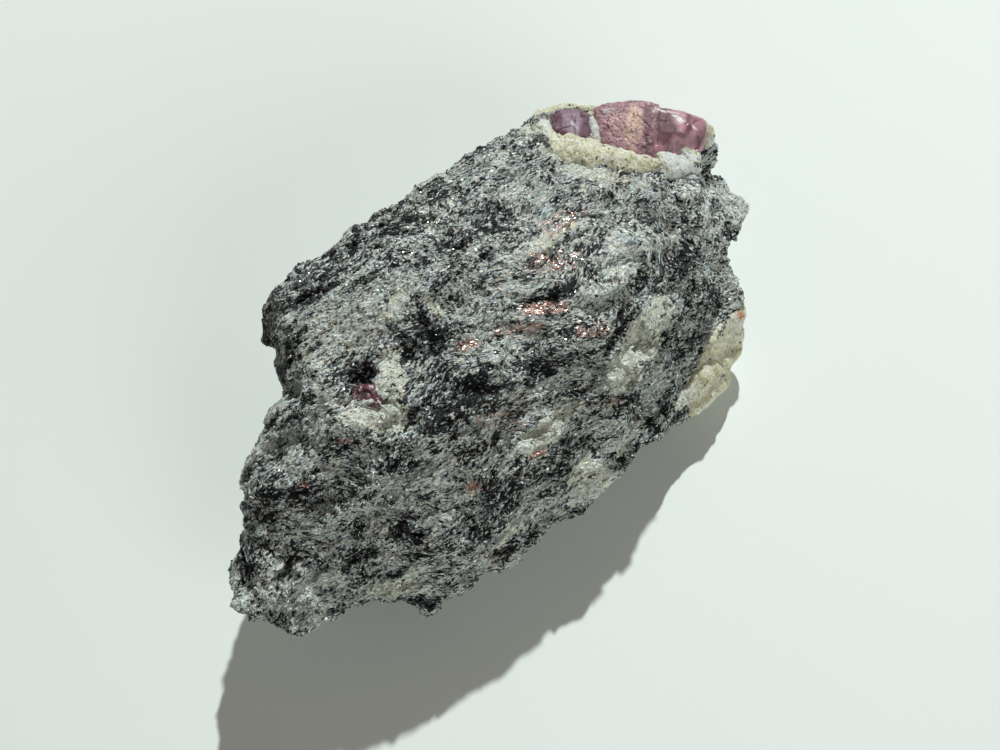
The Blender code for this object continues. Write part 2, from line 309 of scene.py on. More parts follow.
def remesh_evenly(piece, voxel, smoothings):
    """Rebuilds the piece from small even faces, with its facets a little softened."""
    remesh = piece.modifiers.new("even faces", "REMESH")
    remesh.mode = "VOXEL"
    remesh.voxel_size = voxel
    soften = piece.modifiers.new("softer facets", "SMOOTH")
    soften.factor = SOFTENING
    soften.iterations = smoothings
    apply_modifiers(piece)


def triangle_count(piece):
    return sum(len(face.vertices) - 2 for face in piece.data.polygons)


def shade_facets(piece, sharpest):
    """Smooth shading, but with a crisp edge wherever two faces meet at more than this angle."""
    piece.data.shade_smooth()
    piece.data.set_sharp_from_angle(angle=math.radians(sharpest))


def thin_out(piece, most):
    """Takes triangles away from the flattest places until no more than this many are left."""
    triangles = triangle_count(piece)
    if triangles > most:
        thin = piece.modifiers.new("fewer triangles", "DECIMATE")
        thin.ratio = most / triangles
        apply_modifiers(piece)


skin = merged_copy("gneiss_skin", "gneiss_matrix")
remesh_evenly(skin, SKIN_VOXEL, smoothings=3)
print("skin", len(skin.data.vertices), "points,", triangle_count(skin), "triangles")

# %% [markdown]
# The relief has five parts: knobs without direction, chips, which are the flat faces of broken
# grains, splinters stretched along the grain, pits where softer grains fell out, and steps, which
# break the slopes into little treads and risers. For the chips, every cell of a Voronoi pattern gets
# a tilt of its own.

# %% Knobs, splinters, chips and pits
KNOBS = ((5.0, 0.30), (2.2, 0.12))
SPLINTERS = ((Vector((5.0, 1.3, 1.0)), 0.10), (Vector((2.6, 0.8, 0.6)), 0.06))
RIDGE_TOP = 0.5
RIDGE_STEEPNESS = 2.2
CHIPS = (
    (Vector((4.6, 2.8, 2.4)), 0.42),
    (Vector((1.9, 1.3, 1.1)), 0.26),
    (Vector((0.95, 0.75, 0.75)), 0.13),
)
PIT_SIZE = 2.6
PIT_RADIUS = 0.42
PIT_DEPTH = 0.30
PIT_SHARE = -0.55
# the middle of a cell, times one of these, is where the cell's own random numbers are read
CHIP_NUMBERS = 31.7
PIT_NUMBERS = 7.3
HALF = Vector((0.5, 0.5, 0.5))


def stretched(place, size):
    return Vector((place.x / size.x, place.y / size.y, place.z / size.z))


def waves(place, sizes):
    """Adds up noises at a place; each has a size in mm and a strength."""
    return sum(strength * noise.noise(place / (size * MM)) for size, strength in sizes)


def splinter_height(grain):
    """Sharp ridges along the grain: the folds of two stretched noises."""
    return sum(
        height * (RIDGE_TOP - RIDGE_STEEPNESS * abs(noise.noise(stretched(grain, size))))
        for size, height in SPLINTERS
    )


def chip_height(grain, chips=CHIPS):
    """Flat broken faces: how high a point lies on the tilted face of its cell, in mm."""
    height = 0.0
    for size, tilt in chips:
        scaled = stretched(grain, size)
        centre = noise.voronoi(scaled)[1][0]
        lean = noise.cell_vector(centre * CHIP_NUMBERS) - HALF
        height += tilt * size.z * lean.dot(scaled - centre)
    return height


def pit_depth(place):
    """Round pits round scattered points, in about one of five places."""
    distances, centres = noise.voronoi(place / (PIT_SIZE * MM))
    if noise.cell(centres[0] * PIT_NUMBERS) > PIT_SHARE:
        return 0.0
    return PIT_DEPTH * max(0.0, 1 - (distances[0] / PIT_RADIUS) ** 2)


print("chips are", [round(size.x, 2) for size, tilt in CHIPS], "mm long")

# %% Steps: the direction that each set's treads face, its rise in mm and its strength
TREAD_LEAN = 0.45
TREADS_FACE = (UP + AWAY * TREAD_LEAN).normalized()
STEPS = ((SQUARE, 1.1, 0.15), (TREADS_FACE, 1.15, 0.50))
STEP_BENDS = ((3.0, 1.3), (1.1, 0.5))
RISER_STEEPNESS = 10


def step_shift(place, grain):
    """How far a point moves to reach its step: one set follows the layers, one faces the lamp's side."""
    shift = Vector()
    for facing, rise, strength in STEPS:
        level = place.dot(facing) / (rise * MM)
        for size, bend in STEP_BENDS:
            level += bend * noise.noise(grain / size)
        share = level - math.floor(level)
        flat = 1 / (1 + math.exp(-(share - 0.5) * RISER_STEEPNESS))
        shift += facing * ((flat - share) * rise * strength)
    return shift


print("steps rise", [rise for facing, rise, strength in STEPS], "mm")

# %% [markdown]
# Chance can't make the cracks and ledges that everyone would know this stone by. They could be
# sculpted by hand, but named lines and ellipses are easier to read and to change. A crack is a groove
# along a bent line. A ledge is an ellipse whose near side is lifted, which turns it towards the lamp.

# %% Named cracks: their line in the picture, half width and depth in mm
GROOVES = {
    "ledge": (((296, 302), (312, 291), (325, 290), (340, 282), (357, 269)), 0.55, 0.7),
    "edge of the flank": (((293, 322), (289, 350), (290, 376)), 0.9, 0.9),
    "left of the right vein": (((634, 312), (616, 338), (602, 358)), 0.9, 0.9),
    "right of the right vein": (((668, 338), (652, 362), (640, 388)), 0.8, 0.8),
    "foot of the right vein": (((612, 392), (634, 398), (652, 420)), 0.8, 0.8),
    "under the upper streak": (((532, 262), (560, 244), (590, 230)), 0.6, 0.5),
    "over the copper": (((500, 296), (520, 300), (548, 296)), 0.7, 0.7),
    "slanting crack": (((508, 446), (540, 430), (578, 404)), 0.6, 0.7),
    "left of the heart": (((420, 316), (428, 332), (436, 352)), 0.9, 0.8),
    "low crack": (((352, 560), (380, 545), (420, 536)), 0.8, 0.7),
}


def near_line(places, line):
    """The distance in mm of each place from a bent line through named points."""
    nearest = np.full(len(places), np.inf)
    points = [np.array(place_on_stone(*point)) for point in line]
    for start, end in zip(points, points[1:]):
        along = end - start
        share = np.clip((places - start) @ along / (along @ along), 0, 1)
        offsets = places - start - share[:, None] * along
        nearest = np.minimum(nearest, np.linalg.norm(offsets, axis=1) / MM)
    return nearest


def groove_depths(places):
    """How deep each place lies in one of the named grooves, in mm."""
    depths = np.zeros(len(places))
    for line, half_width, depth in GROOVES.values():
        depths = np.maximum(depths, depth * np.clip(1 - (near_line(places, line) / half_width) ** 2, 0, 1))
    return depths


print(len(GROOVES), "named cracks")

# %% Named ledges: place in the picture, half length and half width in mm, turn in degrees, lift in mm
LEDGES = {
    "right vein": ((638, 340), 7.4, 2.8, 56, 2.3),
    "right vein, foot": ((620, 375), 3.0, 2.6, 35, 1.6),
    "white streak": ((607, 280), 5.8, 1.9, 32, 2.1),
    "edge facet": ((594, 478), 3.0, 2.4, 40, 1.0),
    "below the vein": ((655, 372), 3.0, 2.0, 50, 0.9),
    "slanting vein": ((545, 430), 6.0, 1.3, 33, 0.7),
    "foot": ((394, 586), 4.0, 1.6, 10, 0.8),
    "foot, left": ((305, 592), 6.0, 2.4, 5, 0.9),
    "right shoulder": ((676, 268), 4.5, 2.2, 25, 0.8),
}
LEDGE_DEPTH = 4.0
LEDGE_REACH = 1.5
LEDGE_EDGE = 0.6


def offsets_from(places, middle, turn):
    """How far places are from one in the picture, in mm: along a turned line, across it, and deep."""
    turn = math.radians(turn)
    sideways = RIGHT * math.cos(turn) + PICTURE_UP * math.sin(turn)
    upwards = PICTURE_UP * math.cos(turn) - RIGHT * math.sin(turn)
    offset = (places - np.array(place_on_stone(*middle))) / MM
    return offset @ np.array(sideways), offset @ np.array(upwards), offset @ np.array(TO_VIEWER)


def ledge_heights(places):
    """A tilt inside each named ledge: its near side comes up and its far side stays, in mm."""
    heights = np.zeros(len(places))
    for middle, half_length, half_width, turn, lift in LEDGES.values():
        along, across, deep = offsets_from(places, middle, turn)
        radius = (along / half_length) ** 2 + (across / half_width) ** 2 + (deep / LEDGE_DEPTH) ** 2
        inside = np.clip(LEDGE_REACH - radius, 0, LEDGE_EDGE) / LEDGE_EDGE
        heights += inside * lift * (0.5 - 0.5 * np.clip(across / half_width, -1, 1))
    return heights


print(len(LEDGES), "named ledges")

# %% The left flank, which broke along one smooth sheet of mica: its middle line and half width in mm
CALM_LINE = ((276, 310), (269, 336), (277, 368))
CALM_HALF_WIDTH = 3.4
CALM_REACH = 1.4
CALM_SHARE = 0.75


def roughness_left(places):
    """How much of the relief a place keeps: all of it, or less on the calm flank."""
    return 1 - CALM_SHARE * np.clip(CALM_REACH - near_line(places, CALM_LINE) / CALM_HALF_WIDTH, 0, 1)


print("the calm flank keeps", 1 - CALM_SHARE, "of the relief")

# %% [markdown]
# Now each point moves by the sum of all this. The steep near side broke more roughly than the rest, so
# its relief is higher. Points on the flat underside hardly move, so the stone rests on it. How deep in
# a hollow a point then lies is kept on the mesh, so that the hollows can be painted darker as shade.

# %% Roughen the skin
RELIEF_REACH = 1.0
NEAR_SIDE_EXTRA = 0.8
NEAR_SIDE_START = 0.1
NEAR_SIDE_MOST = 0.6
UNDERSIDE_TOP = 0.4 * MM
UNDERSIDE_FACING = -0.7
UNDERSIDE_SHARE = 0.25


def inside_box(place):
    """The place, kept inside the CAD model's box."""
    low, high = CAD_BOX
    return Vector(max(low[i], min(high[i], place[i])) for i in range(3))


def keep_values(piece, name, values):
    """Stores one number per point under a name that a material can read."""
    layer = piece.data.attributes.new(name, "FLOAT", "POINT")
    layer.data.foreach_set("value", np.asarray(values, dtype=np.float32))


def near_side_factor(normal):
    """How much rougher than elsewhere the rock is where it faces the viewer's side."""
    return 1 + NEAR_SIDE_EXTRA * max(0.0, min(NEAR_SIDE_MOST, -normal.dot(AWAY) - NEAR_SIDE_START))


def roughen(piece):
    """Moves every point by the relief, and keeps how deep in a hollow it then lies, 0 to 1."""
    normals = [vertex.normal.copy() for vertex in piece.data.vertices]
    starts = np.array([vertex.co for vertex in piece.data.vertices])
    carved = ledge_heights(starts) - groove_depths(starts)
    kept = roughness_left(starts)
    hollows = []
    for vertex, normal, carving, calm in zip(piece.data.vertices, normals, carved, kept):
        place = vertex.co.copy()
        grain = grain_place(place)
        rougher = calm * near_side_factor(normal)
        height = waves(place, KNOBS) + splinter_height(grain) + chip_height(grain) - pit_depth(place)
        height = max(-RELIEF_REACH, min(RELIEF_REACH, height * rougher)) + carving
        moved = place + (normal * height + step_shift(place, grain) * rougher) * MM
        if place.z < UNDERSIDE_TOP and normal.z < UNDERSIDE_FACING:
            moved = place.lerp(moved, UNDERSIDE_SHARE)
        vertex.co = inside_box(moved)
        hollows.append(min(1.0, max(0.0, -height / RELIEF_REACH)))
    keep_values(piece, "hollow", hollows)
    return max(hollows)


print("deepest hollow", round(roughen(skin) * RELIEF_REACH, 2), "mm")
thin_out(skin, SKIN_TRIANGLES)
for vertex in skin.data.vertices:
    vertex.co = inside_box(vertex.co)
shade_facets(skin, SKIN_SHARPEST)
print("skin now", triangle_count(skin), "triangles")

# %% [markdown]
# ## Veins, patches, dark layers and painted shade
# The rock isn't evenly mixed. White and cream feldspar gathers in streaks and round the rubies, and
# black mica in bands. Some dark patches are painted shade instead: on the ledge's step, the left flank
# and a crack beside it, the ruby's hollow, the left side of the right vein, and under the lump. Each
# named patch below is an ellipse that lies on the stone where the picture shows it. Its ragged edge
# comes from noise, and the result is kept on the mesh as a named value that the material reads. Away
# from the named ones, a stretched noise makes streaks of its own.

# %% Named patches: place in the picture, half length and half width in mm, turn in degrees, strength
CREAM_PATCHES = {
    "round the hollow, right": ((390, 378), 3.8, 1.9, 75, 1.6),
    "round the hollow, below": ((377, 415), 5.0, 1.9, 2, 1.9),
    "round the hollow, left": ((330, 400), 2.6, 1.2, -35, 0.5),
    "left slope": ((338, 332), 8.5, 5.5, 40, 0.50),
    "left slope, low": ((300, 375), 4.5, 2.4, 70, 0.4),
    "left of the middle": ((394, 303), 3.6, 1.4, 62, 0.75),
    "small wedge": ((436, 309), 1.6, 0.9, -20, 0.9),
    "upper streak": ((547, 240), 5.8, 1.2, 33, 0.75),
    "upper streak, pale end": ((568, 227), 2.6, 0.9, 15, 0.7),
    "right vein": ((640, 340), 7.6, 2.4, 56, 1.9),
    "right vein, foot": ((622, 375), 3.4, 2.4, 35, 1.6),
    "slanting vein": ((552, 422), 6.8, 1.1, 33, 1.2),
    "slanting vein, low": ((535, 446), 3.6, 1.1, 22, 1.4),
    "edge facet": ((594, 478), 3.0, 2.8, 40, 1.8),
    "under the rim": ((601, 174), 7.0, 1.1, -10, 0.9),
    "under the rim, left": ((556, 152), 2.4, 1.4, -40, 1.1),
    "foot of the stone": ((392, 590), 3.4, 1.5, 20, 1.5),
    "long edge": ((500, 545), 4.2, 1.0, 55, 0.6),
    "long edge, right": ((628, 440), 4.6, 1.1, 48, 0.5),
    "left shoulder": ((534, 128), 2.2, 1.2, 30, 0.8),
}
WHITE_PATCHES = {
    "white streak": ((608, 279), 6.0, 1.7, 32, 1.8),
    "white streak, thin end": ((574, 299), 2.4, 0.8, 40, 0.7),
    "upper right field": ((640, 205), 10.0, 4.2, 8, 0.14),
    "under the white end": ((682, 173), 4.2, 1.5, -8, 1.3),
    "right of the streak": ((656, 250), 4.6, 2.4, 30, 0.65),
    "upper edge": ((500, 158), 8.0, 2.4, 32, 0.24),
    "upper edge, low": ((520, 190), 5.5, 1.6, 35, 0.20),
    "right corner": ((700, 205), 4.0, 3.0, 10, 0.45),
    "knob in the gap": ((735, 203), 3.4, 2.0, -20, 1.4),
    "right edge line": ((648, 400), 4.2, 1.0, -62, 1.0),
    "below the right vein": ((652, 374), 3.6, 2.2, 60, 1.0),
    "right of the slanting vein": ((605, 425), 4.0, 2.0, 45, 0.5),
    "middle": ((508, 300), 2.4, 1.4, 70, 0.3),
    "middle, wide": ((500, 310), 6.0, 3.6, 30, 0.6),
    "right of the middle": ((600, 310), 5.0, 2.6, 35, 0.4),
    "right edge of the top": ((705, 235), 3.6, 2.4, 70, 0.45),
    "lower streaks": ((395, 492), 7.5, 1.6, 12, 0.6),
    "lower left spot": ((322, 462), 4.6, 1.5, 100, 0.7),
    "lower left spot, upper": ((285, 452), 2.6, 2.0, 60, 0.4),
    "low band": ((310, 519), 3.2, 0.9, 5, 0.6),
    "lower middle": ((452, 506), 4.5, 1.2, 20, 0.5),
    "low spot": ((342, 538), 2.2, 0.8, 30, 0.4),
    "foot, left": ((300, 592), 6.5, 3.2, 5, 0.8),
    "foot, tip": ((308, 622), 3.0, 0.9, 5, 0.9),
    "foot, middle": ((388, 560), 3.0, 1.6, 10, 0.9),
    "foot, right": ((424, 572), 3.2, 1.4, 15, 0.6),
    "beside the edge facet": ((572, 492), 2.2, 1.0, 20, 0.5),
    "right edge": ((600, 440), 4.0, 1.8, 50, 0.3),
}
# mostly black bands of mica; the marked ones are painted shade
DARK_BAND_AND_SHADE_PATCHES = {
    "heart of the stone": ((458, 395), 8.0, 4.4, 8, 0.62),
    "low heart": ((440, 425), 5.0, 2.0, 5, 0.4),
    "above the heart": ((450, 355), 3.6, 2.0, -25, 0.4),
    "left of the heart": ((424, 330), 2.8, 1.8, 40, 0.4),
    "line of the middle": ((540, 366), 6.0, 1.5, 5, 0.4),
    "upper hollow": ((490, 224), 4.0, 3.0, 20, 0.45),
    "upper edge notch": ((438, 200), 2.4, 1.6, 50, 0.4),
    # painted shadow of the ledge's step
    "ledge": ((322, 290), 5.2, 0.9, 32, 0.5),
    "upper left slope": ((345, 250), 6.5, 1.8, 38, 0.3),
    "upper edge, middle": ((400, 225), 4.5, 1.6, 38, 0.3),
    "over the band": ((470, 262), 5.0, 1.5, 30, 0.3),
    "band over the ledge": ((372, 264), 6.5, 2.2, 36, 0.35),
    "left band": ((316, 274), 5.0, 2.0, 40, 0.35),
    # painted shade: the flank faces away from the lamp, and so does the crack beside it
    "left flank": ((271, 334), 2.2, 5.6, 5, 0.72),
    "crack beside the flank": ((285, 366), 0.7, 3.4, -12, 1.2),
    # painted shade in the ruby's hollow
    "hollow of the ruby": ((352, 382), 3.2, 2.6, 20, 0.6),
    "right shoulder": ((680, 262), 6.0, 2.8, 25, 0.62),
    "right shoulder, low": ((704, 300), 4.2, 3.2, 20, 0.55),
    "beside the lump": ((668, 350), 2.8, 3.4, 20, 0.45),
    # painted shadow on the left side of the right vein
    "left of the right vein": ((624, 324), 1.8, 2.2, 40, 0.5),
    "foot of the right vein": ((632, 404), 3.2, 1.6, 15, 0.55),
    # painted shade under the lump
    "under the lump": ((664, 412), 4.0, 1.6, 45, 0.5),
    "left foot": ((250, 558), 3.6, 3.6, 60, 0.5),
    "left side": ((268, 500), 3.6, 2.4, 80, 0.5),
    "left side, inner": ((298, 492), 3.4, 1.8, 20, 0.4),
    "lower heart": ((512, 492), 4.6, 2.6, 25, 0.6),
    "low middle": ((466, 536), 4.0, 1.8, 10, 0.35),
    "low left middle": ((408, 530), 2.6, 2.2, 0, 0.4),
    "low line": ((346, 556), 4.0, 1.1, 5, 0.45),
    "low edge": ((440, 600), 3.0, 1.2, 10, 0.3),
}
COPPER_PATCHES = {
    "middle": ((545, 308), 3.6, 0.9, 8, 1.0),
    "over the heart": ((466, 346), 2.6, 0.9, 20, 1.0),
    "thin line": ((515, 330), 4.5, 0.7, 12, 0.6),
    "upper": ((560, 222), 4.5, 1.6, 20, 0.5),
    "upper low": ((550, 262), 4.5, 2.0, 10, 0.5),
    "right of the middle": ((590, 330), 3.0, 1.2, 10, 0.6),
    "left side": ((305, 485), 1.2, 0.6, 0, 1.0),
    "above the left side": ((346, 440), 1.2, 0.5, 10, 0.8),
    "lower heart": ((473, 487), 0.9, 0.7, 0, 1.2),
    "foot of the vein": ((610, 402), 0.8, 0.5, 0, 1.0),
    "on the slanting vein": ((540, 452), 1.8, 0.5, 20, 0.8),
    "heart": ((500, 420), 5.0, 1.6, 5, 0.35),
}
ROCK_MARKS = {"cream": CREAM_PATCHES, "white": WHITE_PATCHES, "dark": DARK_BAND_AND_SHADE_PATCHES, "copper": COPPER_PATCHES}
print({label: len(patches) for label, patches in ROCK_MARKS.items()}, "named patches")

# %% Paint the patches onto the points
PATCH_DEPTH = 3.5
PATCH_EDGE = 0.45
EDGE_NOISES = ((3.2, 0.45), (1.2, 0.30))
CLEARLY_INSIDE = 0.3


def edge_noise(places):
    """How much each point is pushed in or out of any patch, for ragged edges."""
    return np.array([waves(Vector(place), EDGE_NOISES) for place in places])


def patch_value(places, ragged, patches):
    """For each point, how strongly it belongs to any of the patches, 0 to 1 or a little over."""
    value = np.zeros(len(places))
    for middle, half_length, half_width, turn, strength in patches.values():
        along, across, deep = offsets_from(places, middle, turn)
        radius = np.sqrt(
            (along / half_length) ** 2
            + (across / half_width) ** 2
            + (deep / (PATCH_DEPTH + half_width)) ** 2
        )
        inside = np.clip((1 + PATCH_EDGE - radius - ragged) / (2 * PATCH_EDGE), 0, 1)
        value = np.maximum(value, strength * inside * inside * (3 - 2 * inside))
    return value


def marks_on(piece, marks, raggedness=1.0):
    """For each kind of mark, how strongly each point of the piece belongs to it."""
    places = np.array([vertex.co for vertex in piece.data.vertices])
    ragged = raggedness * edge_noise(places)
    found = {label: patch_value(places, ragged, patches) for label, patches in marks.items()}
    for label, values in found.items():
        covered = 100 * float((values > CLEARLY_INSIDE).mean())
        print(piece.name, label, "covers", round(covered, 1), "% of the points")
    return found


def keep_marks(piece, marks, raggedness=1.0):
    for label, values in marks_on(piece, marks, raggedness).items():
        keep_values(piece, label, values)


def keep_grain(piece):
    """Stores each point's place in the bent layers, which the rock's patterns follow."""
    places = [grain_place(vertex.co) for vertex in piece.data.vertices]
    layer = piece.data.attributes.new("grain", "FLOAT_VECTOR", "POINT")
    layer.data.foreach_set("vector", np.array(places, dtype=np.float32).ravel())


keep_grain(skin)
painted = marks_on(skin, ROCK_MARKS)

# %% [markdown]
# The tone is how pale the rock is at a place, seen from a step back. It adds up slow bands along the
# grain, clots of two or three millimetres where one mineral gathered, the painted patches, some of which
# are painted shade, and a little painted shade in the hollows. Grains that stick out further down read
# it too, and suit their place.

# %% The tone of each place
TONE_EVERYWHERE = 0.16
BANDS = ((Vector((18.0, 6.0, 5.0)), 0.30), (Vector((7.0, 2.6, 2.2)), 0.46))
CLOTS = ((Vector((3.0, 1.6, 1.4)), 0.56), (Vector((1.5, 0.9, 0.8)), 0.48))
CREAM_LIFT = 0.50
WHITE_LIFT = 0.58
# even the palest vein keeps some dark grains, a cream one more than a white one
MOST_CREAM_LIFT = 0.57
MOST_WHITE_LIFT = 0.74
# how much darker the dark bands, and the painted shade among them, make the tone
DARK_AND_SHADE_DROP = 0.80
# painted shade: how much darker the tone is in the hollows
HOLLOW_PAINTED_SHADE = 0.35


def band_tone(grain):
    """How pale the rock is by itself: an even tone with bands along the grain and clots of minerals."""
    return TONE_EVERYWHERE + sum(
        strength * noise.noise(stretched(grain, size)) for size, strength in BANDS + CLOTS
    )


def read_values(piece, name, width=1):
    """The numbers that a piece keeps for each point under a name."""
    values = np.empty(len(piece.data.vertices) * width, dtype=np.float32)
    piece.data.attributes[name].data.foreach_get("value" if width == 1 else "vector", values)
    return values if width == 1 else values.reshape(-1, width)


tone = np.array([band_tone(Vector(place)) for place in read_values(skin, "grain", 3)])
cream_lift = np.minimum(CREAM_LIFT * painted["cream"], MOST_CREAM_LIFT)
white_lift = np.minimum(WHITE_LIFT * painted["white"], MOST_WHITE_LIFT)
tone += np.maximum(cream_lift, white_lift)
tone -= DARK_AND_SHADE_DROP * painted["dark"] + HOLLOW_PAINTED_SHADE * read_values(skin, "hollow")
keep_values(skin, "tone", tone)
keep_values(skin, "cream", painted["cream"])
keep_values(skin, "copper", painted["copper"])
print("tone from", round(float(tone.min()), 2), "to", round(float(tone.max()), 2))

# %% [markdown]
# ## Shader groups
# All finishes here are built from the same few effects, so each is made once as a node group with
# named sockets. A small helper that adds a node, sets it and wires it keeps the groups short enough
# to read from top to bottom.

# %% Node helpers


def feed(tree, node, inputs):
    """Sets inputs of a node; each may be a value or the output socket of another node."""
    for socket, value in inputs.items():
        if isinstance(value, bpy.types.NodeSocket):
            tree.links.new(value, node.inputs[socket])
        else:
            node.inputs[socket].default_value = value
    return node


def add_node(tree, kind, inputs=None, **settings):
    """Adds a node, changes its settings and feeds its inputs."""
    made = tree.nodes.new(kind)
    for name, value in settings.items():
        setattr(made, name, value)
    return feed(tree, made, inputs or {})


def calculate(tree, operation, first, second=0.0, clamp=False):
    inputs = {0: first, 1: second}
    return add_node(tree, "ShaderNodeMath", inputs, operation=operation, use_clamp=clamp).outputs[0]


def ramp(tree, value, stops):
    """A colour ramp: stops are pairs of place and colour."""
    made = add_node(tree, "ShaderNodeValToRGB", {"Fac": value})
    elements = made.color_ramp.elements
    while len(elements) < len(stops):
        elements.new(0.5)
    for element, (place, colour) in zip(elements, stops):
        element.position = place
        element.color = (*colour, 1)
    return made.outputs["Color"]


def with_alpha(colour):
    """A colour as its socket wants it, with a fourth number; a link stays as it is."""
    return colour if isinstance(colour, bpy.types.NodeSocket) else (*colour, 1)


def blend(tree, share, first, second, way="MIX"):
    """Mixes two colours."""
    inputs = {0: share, 6: with_alpha(first), 7: with_alpha(second)}
    return add_node(tree, "ShaderNodeMix", inputs, data_type="RGBA", blend_type=way).outputs[2]


def between(tree, value, low, high, new_low=0.0, new_high=1.0):
    """Maps low..high smoothly to new_low..new_high."""
    inputs = {"Value": value, "From Min": low, "From Max": high, "To Min": new_low, "To Max": new_high}
    made = add_node(tree, "ShaderNodeMapRange", inputs, interpolation_type="SMOOTHSTEP")
    return made.outputs["Result"]


def on_vectors(tree, operation, first, second, output="Vector"):
    """One sum of vector maths; a dot product's result is in the output Value."""
    made = add_node(tree, "ShaderNodeVectorMath", {0: first, 1: second}, operation=operation)
    return made.outputs[output]


def place_in_mm(tree):
    """The place on the object, in millimetres."""
    place = add_node(tree, "ShaderNodeTexCoord").outputs["Object"]
    return on_vectors(tree, "MULTIPLY", place, (1 / MM, 1 / MM, 1 / MM))


def weigh(tree, *parts):
    """Adds up pairs of a value and its weight."""
    total = 0.0
    for value, weight in parts:
        made = add_node(tree, "ShaderNodeMath", {0: value, 1: weight, 2: total}, operation="MULTIPLY_ADD")
        total = made.outputs[0]
    return total


def new_group(name, inputs, outputs, output_kind="NodeSocketFloat"):
    """A shader group with named sockets, and its input and output node; an input of None is a vector."""
    group = bpy.data.node_groups.new(name, "ShaderNodeTree")
    for label, value in inputs.items():
        kind = "NodeSocketVector" if value is None else "NodeSocketFloat"
        socket = group.interface.new_socket(label, in_out="INPUT", socket_type=kind)
        if value is not None:
            socket.default_value = value
    for label in outputs:
        group.interface.new_socket(label, in_out="OUTPUT", socket_type=output_kind)
    return group, group.nodes.new("NodeGroupInput"), group.nodes.new("NodeGroupOutput")


def use_group(tree, group, inputs):
    return add_node(tree, "ShaderNodeGroup", inputs, node_tree=group).outputs


# %% [markdown]
# ### Mineral grains
# A rock is a pile of grains, each one colour and each broken on its own flat face. Voronoi cells are
# the plain way to get both: a random number per cell picks the mineral, and a random slope per cell
# tilts its face, so neighbouring grains catch the light differently and a few of them flash.

# %% Group: mineral grains
PALE_EDGE = 0.10
DOME_FALL = -0.25


def grains_group():
    """Cells of random shade with tilted faces; places and sizes in millimetres."""
    group, given, made = new_group(
        "Mineral grains",
        {"Vector": None, "Grain Size": 0.5, "Pale Share": 0.5, "Tilt": 0.6},
        ("Pale", "Shade", "Flash", "Height"),
    )
    size = given.outputs["Grain Size"]
    shrink = calculate(group, "DIVIDE", 1.0, size)
    scaled = add_node(
        group, "ShaderNodeVectorMath", {0: given.outputs["Vector"], "Scale": shrink}, operation="SCALE",
    ).outputs[0]
    cells = add_node(group, "ShaderNodeTexVoronoi", {"Vector": scaled, "Scale": 1.0})
    random = add_node(group, "ShaderNodeSeparateColor", {"Color": cells.outputs["Color"]}).outputs
    threshold = calculate(group, "SUBTRACT", 1.0, given.outputs["Pale Share"])
    over = calculate(group, "SUBTRACT", random[0], threshold)
    pale = between(group, over, -PALE_EDGE, PALE_EDGE)
    away = on_vectors(group, "SUBTRACT", scaled, cells.outputs["Position"])
    lean = on_vectors(group, "SUBTRACT", cells.outputs["Color"], HALF)
    slope = on_vectors(group, "DOT_PRODUCT", away, lean, output="Value")
    slope = calculate(group, "MULTIPLY", slope, given.outputs["Tilt"])
    dome = calculate(group, "MULTIPLY", cells.outputs["Distance"], DOME_FALL)
    height = calculate(group, "MULTIPLY", calculate(group, "ADD", slope, dome), size)
    feed(group, made, {"Pale": pale, "Shade": random[1], "Flash": random[2], "Height": height})
    return group


GRAINS = grains_group()
print("sockets:", [socket.name for socket in GRAINS.interface.items_tree])

# %% [markdown]
# ### Streaks
# Streaks are one noise, drawn out along the grain at two sizes: lines half a millimetre wide, and
# fibres of a fifth of a millimetre. The folds kept on the mesh turn them, so none runs straight for long.

# %% Group: streaks
STREAK_SIZES = {"Lines": (2.8, 0.55, 0.5), "Fibres": (0.95, 0.20, 0.20)}


def streaks_group():
    """Two noises drawn out along the first axis of a place in millimetres, each 0 to 1."""
    group, given, made = new_group("Streaks", {"Vector": None}, tuple(STREAK_SIZES))
    for label, size in STREAK_SIZES.items():
        drawn = on_vectors(group, "MULTIPLY", given.outputs["Vector"], tuple(1 / side for side in size))
        pattern = add_node(
            group, "ShaderNodeTexNoise",
            {"Vector": drawn, "Scale": 1.0, "Detail": 2.0, "Roughness": 0.6, "Distortion": 0.4},
        )
        feed(group, made, {label: between(group, pattern.outputs[0], 0.25, 0.75)})
    return group


STREAKS = streaks_group()
print("streaks are", STREAK_SIZES, "mm")

# %% [markdown]
# ### Mineral colours
# Black mica, green-black hornblende, grey quartz and white feldspar are mixed grain by grain, with
# every grey between them. So a single number, how pale a spot is, can stand for the mineral: one steep
# colour ramp turns it into a colour, another does so where the rock is creamy, and a second random
# number tints each grain a little green, blue, yellow or pink. The rock and its loose grains share it.

# %% Group: mineral colours
ROCK_COLOURS = (
    (0.00, (0.007, 0.009, 0.011)),
    (0.32, (0.021, 0.028, 0.035)),
    (0.44, (0.062, 0.077, 0.090)),
    (0.54, (0.200, 0.228, 0.228)),
    (0.68, (0.550, 0.600, 0.570)),
    (0.92, (0.950, 0.985, 0.935)),
)
CREAM_COLOURS = (
    (0.00, (0.008, 0.009, 0.008)),
    (0.30, (0.060, 0.062, 0.048)),
    (0.44, (0.420, 0.430, 0.320)),
    (0.60, (0.800, 0.815, 0.650)),
    (1.00, (0.975, 0.985, 0.880)),
)
GRAIN_TINTS = (
    (0.00, (0.86, 1.00, 0.94)),
    (0.25, (0.90, 0.98, 1.06)),
    (0.55, (0.98, 1.00, 0.98)),
    (0.85, (1.02, 1.01, 0.91)),
    (1.00, (1.06, 0.98, 0.98)),
)
GRAIN_SHADES = ((0.00, (0.34, 0.36, 0.38)), (0.45, (0.84, 0.86, 0.86)), (1.00, (1.16, 1.16, 1.14)))
CREAM_EVENNESS = 0.55


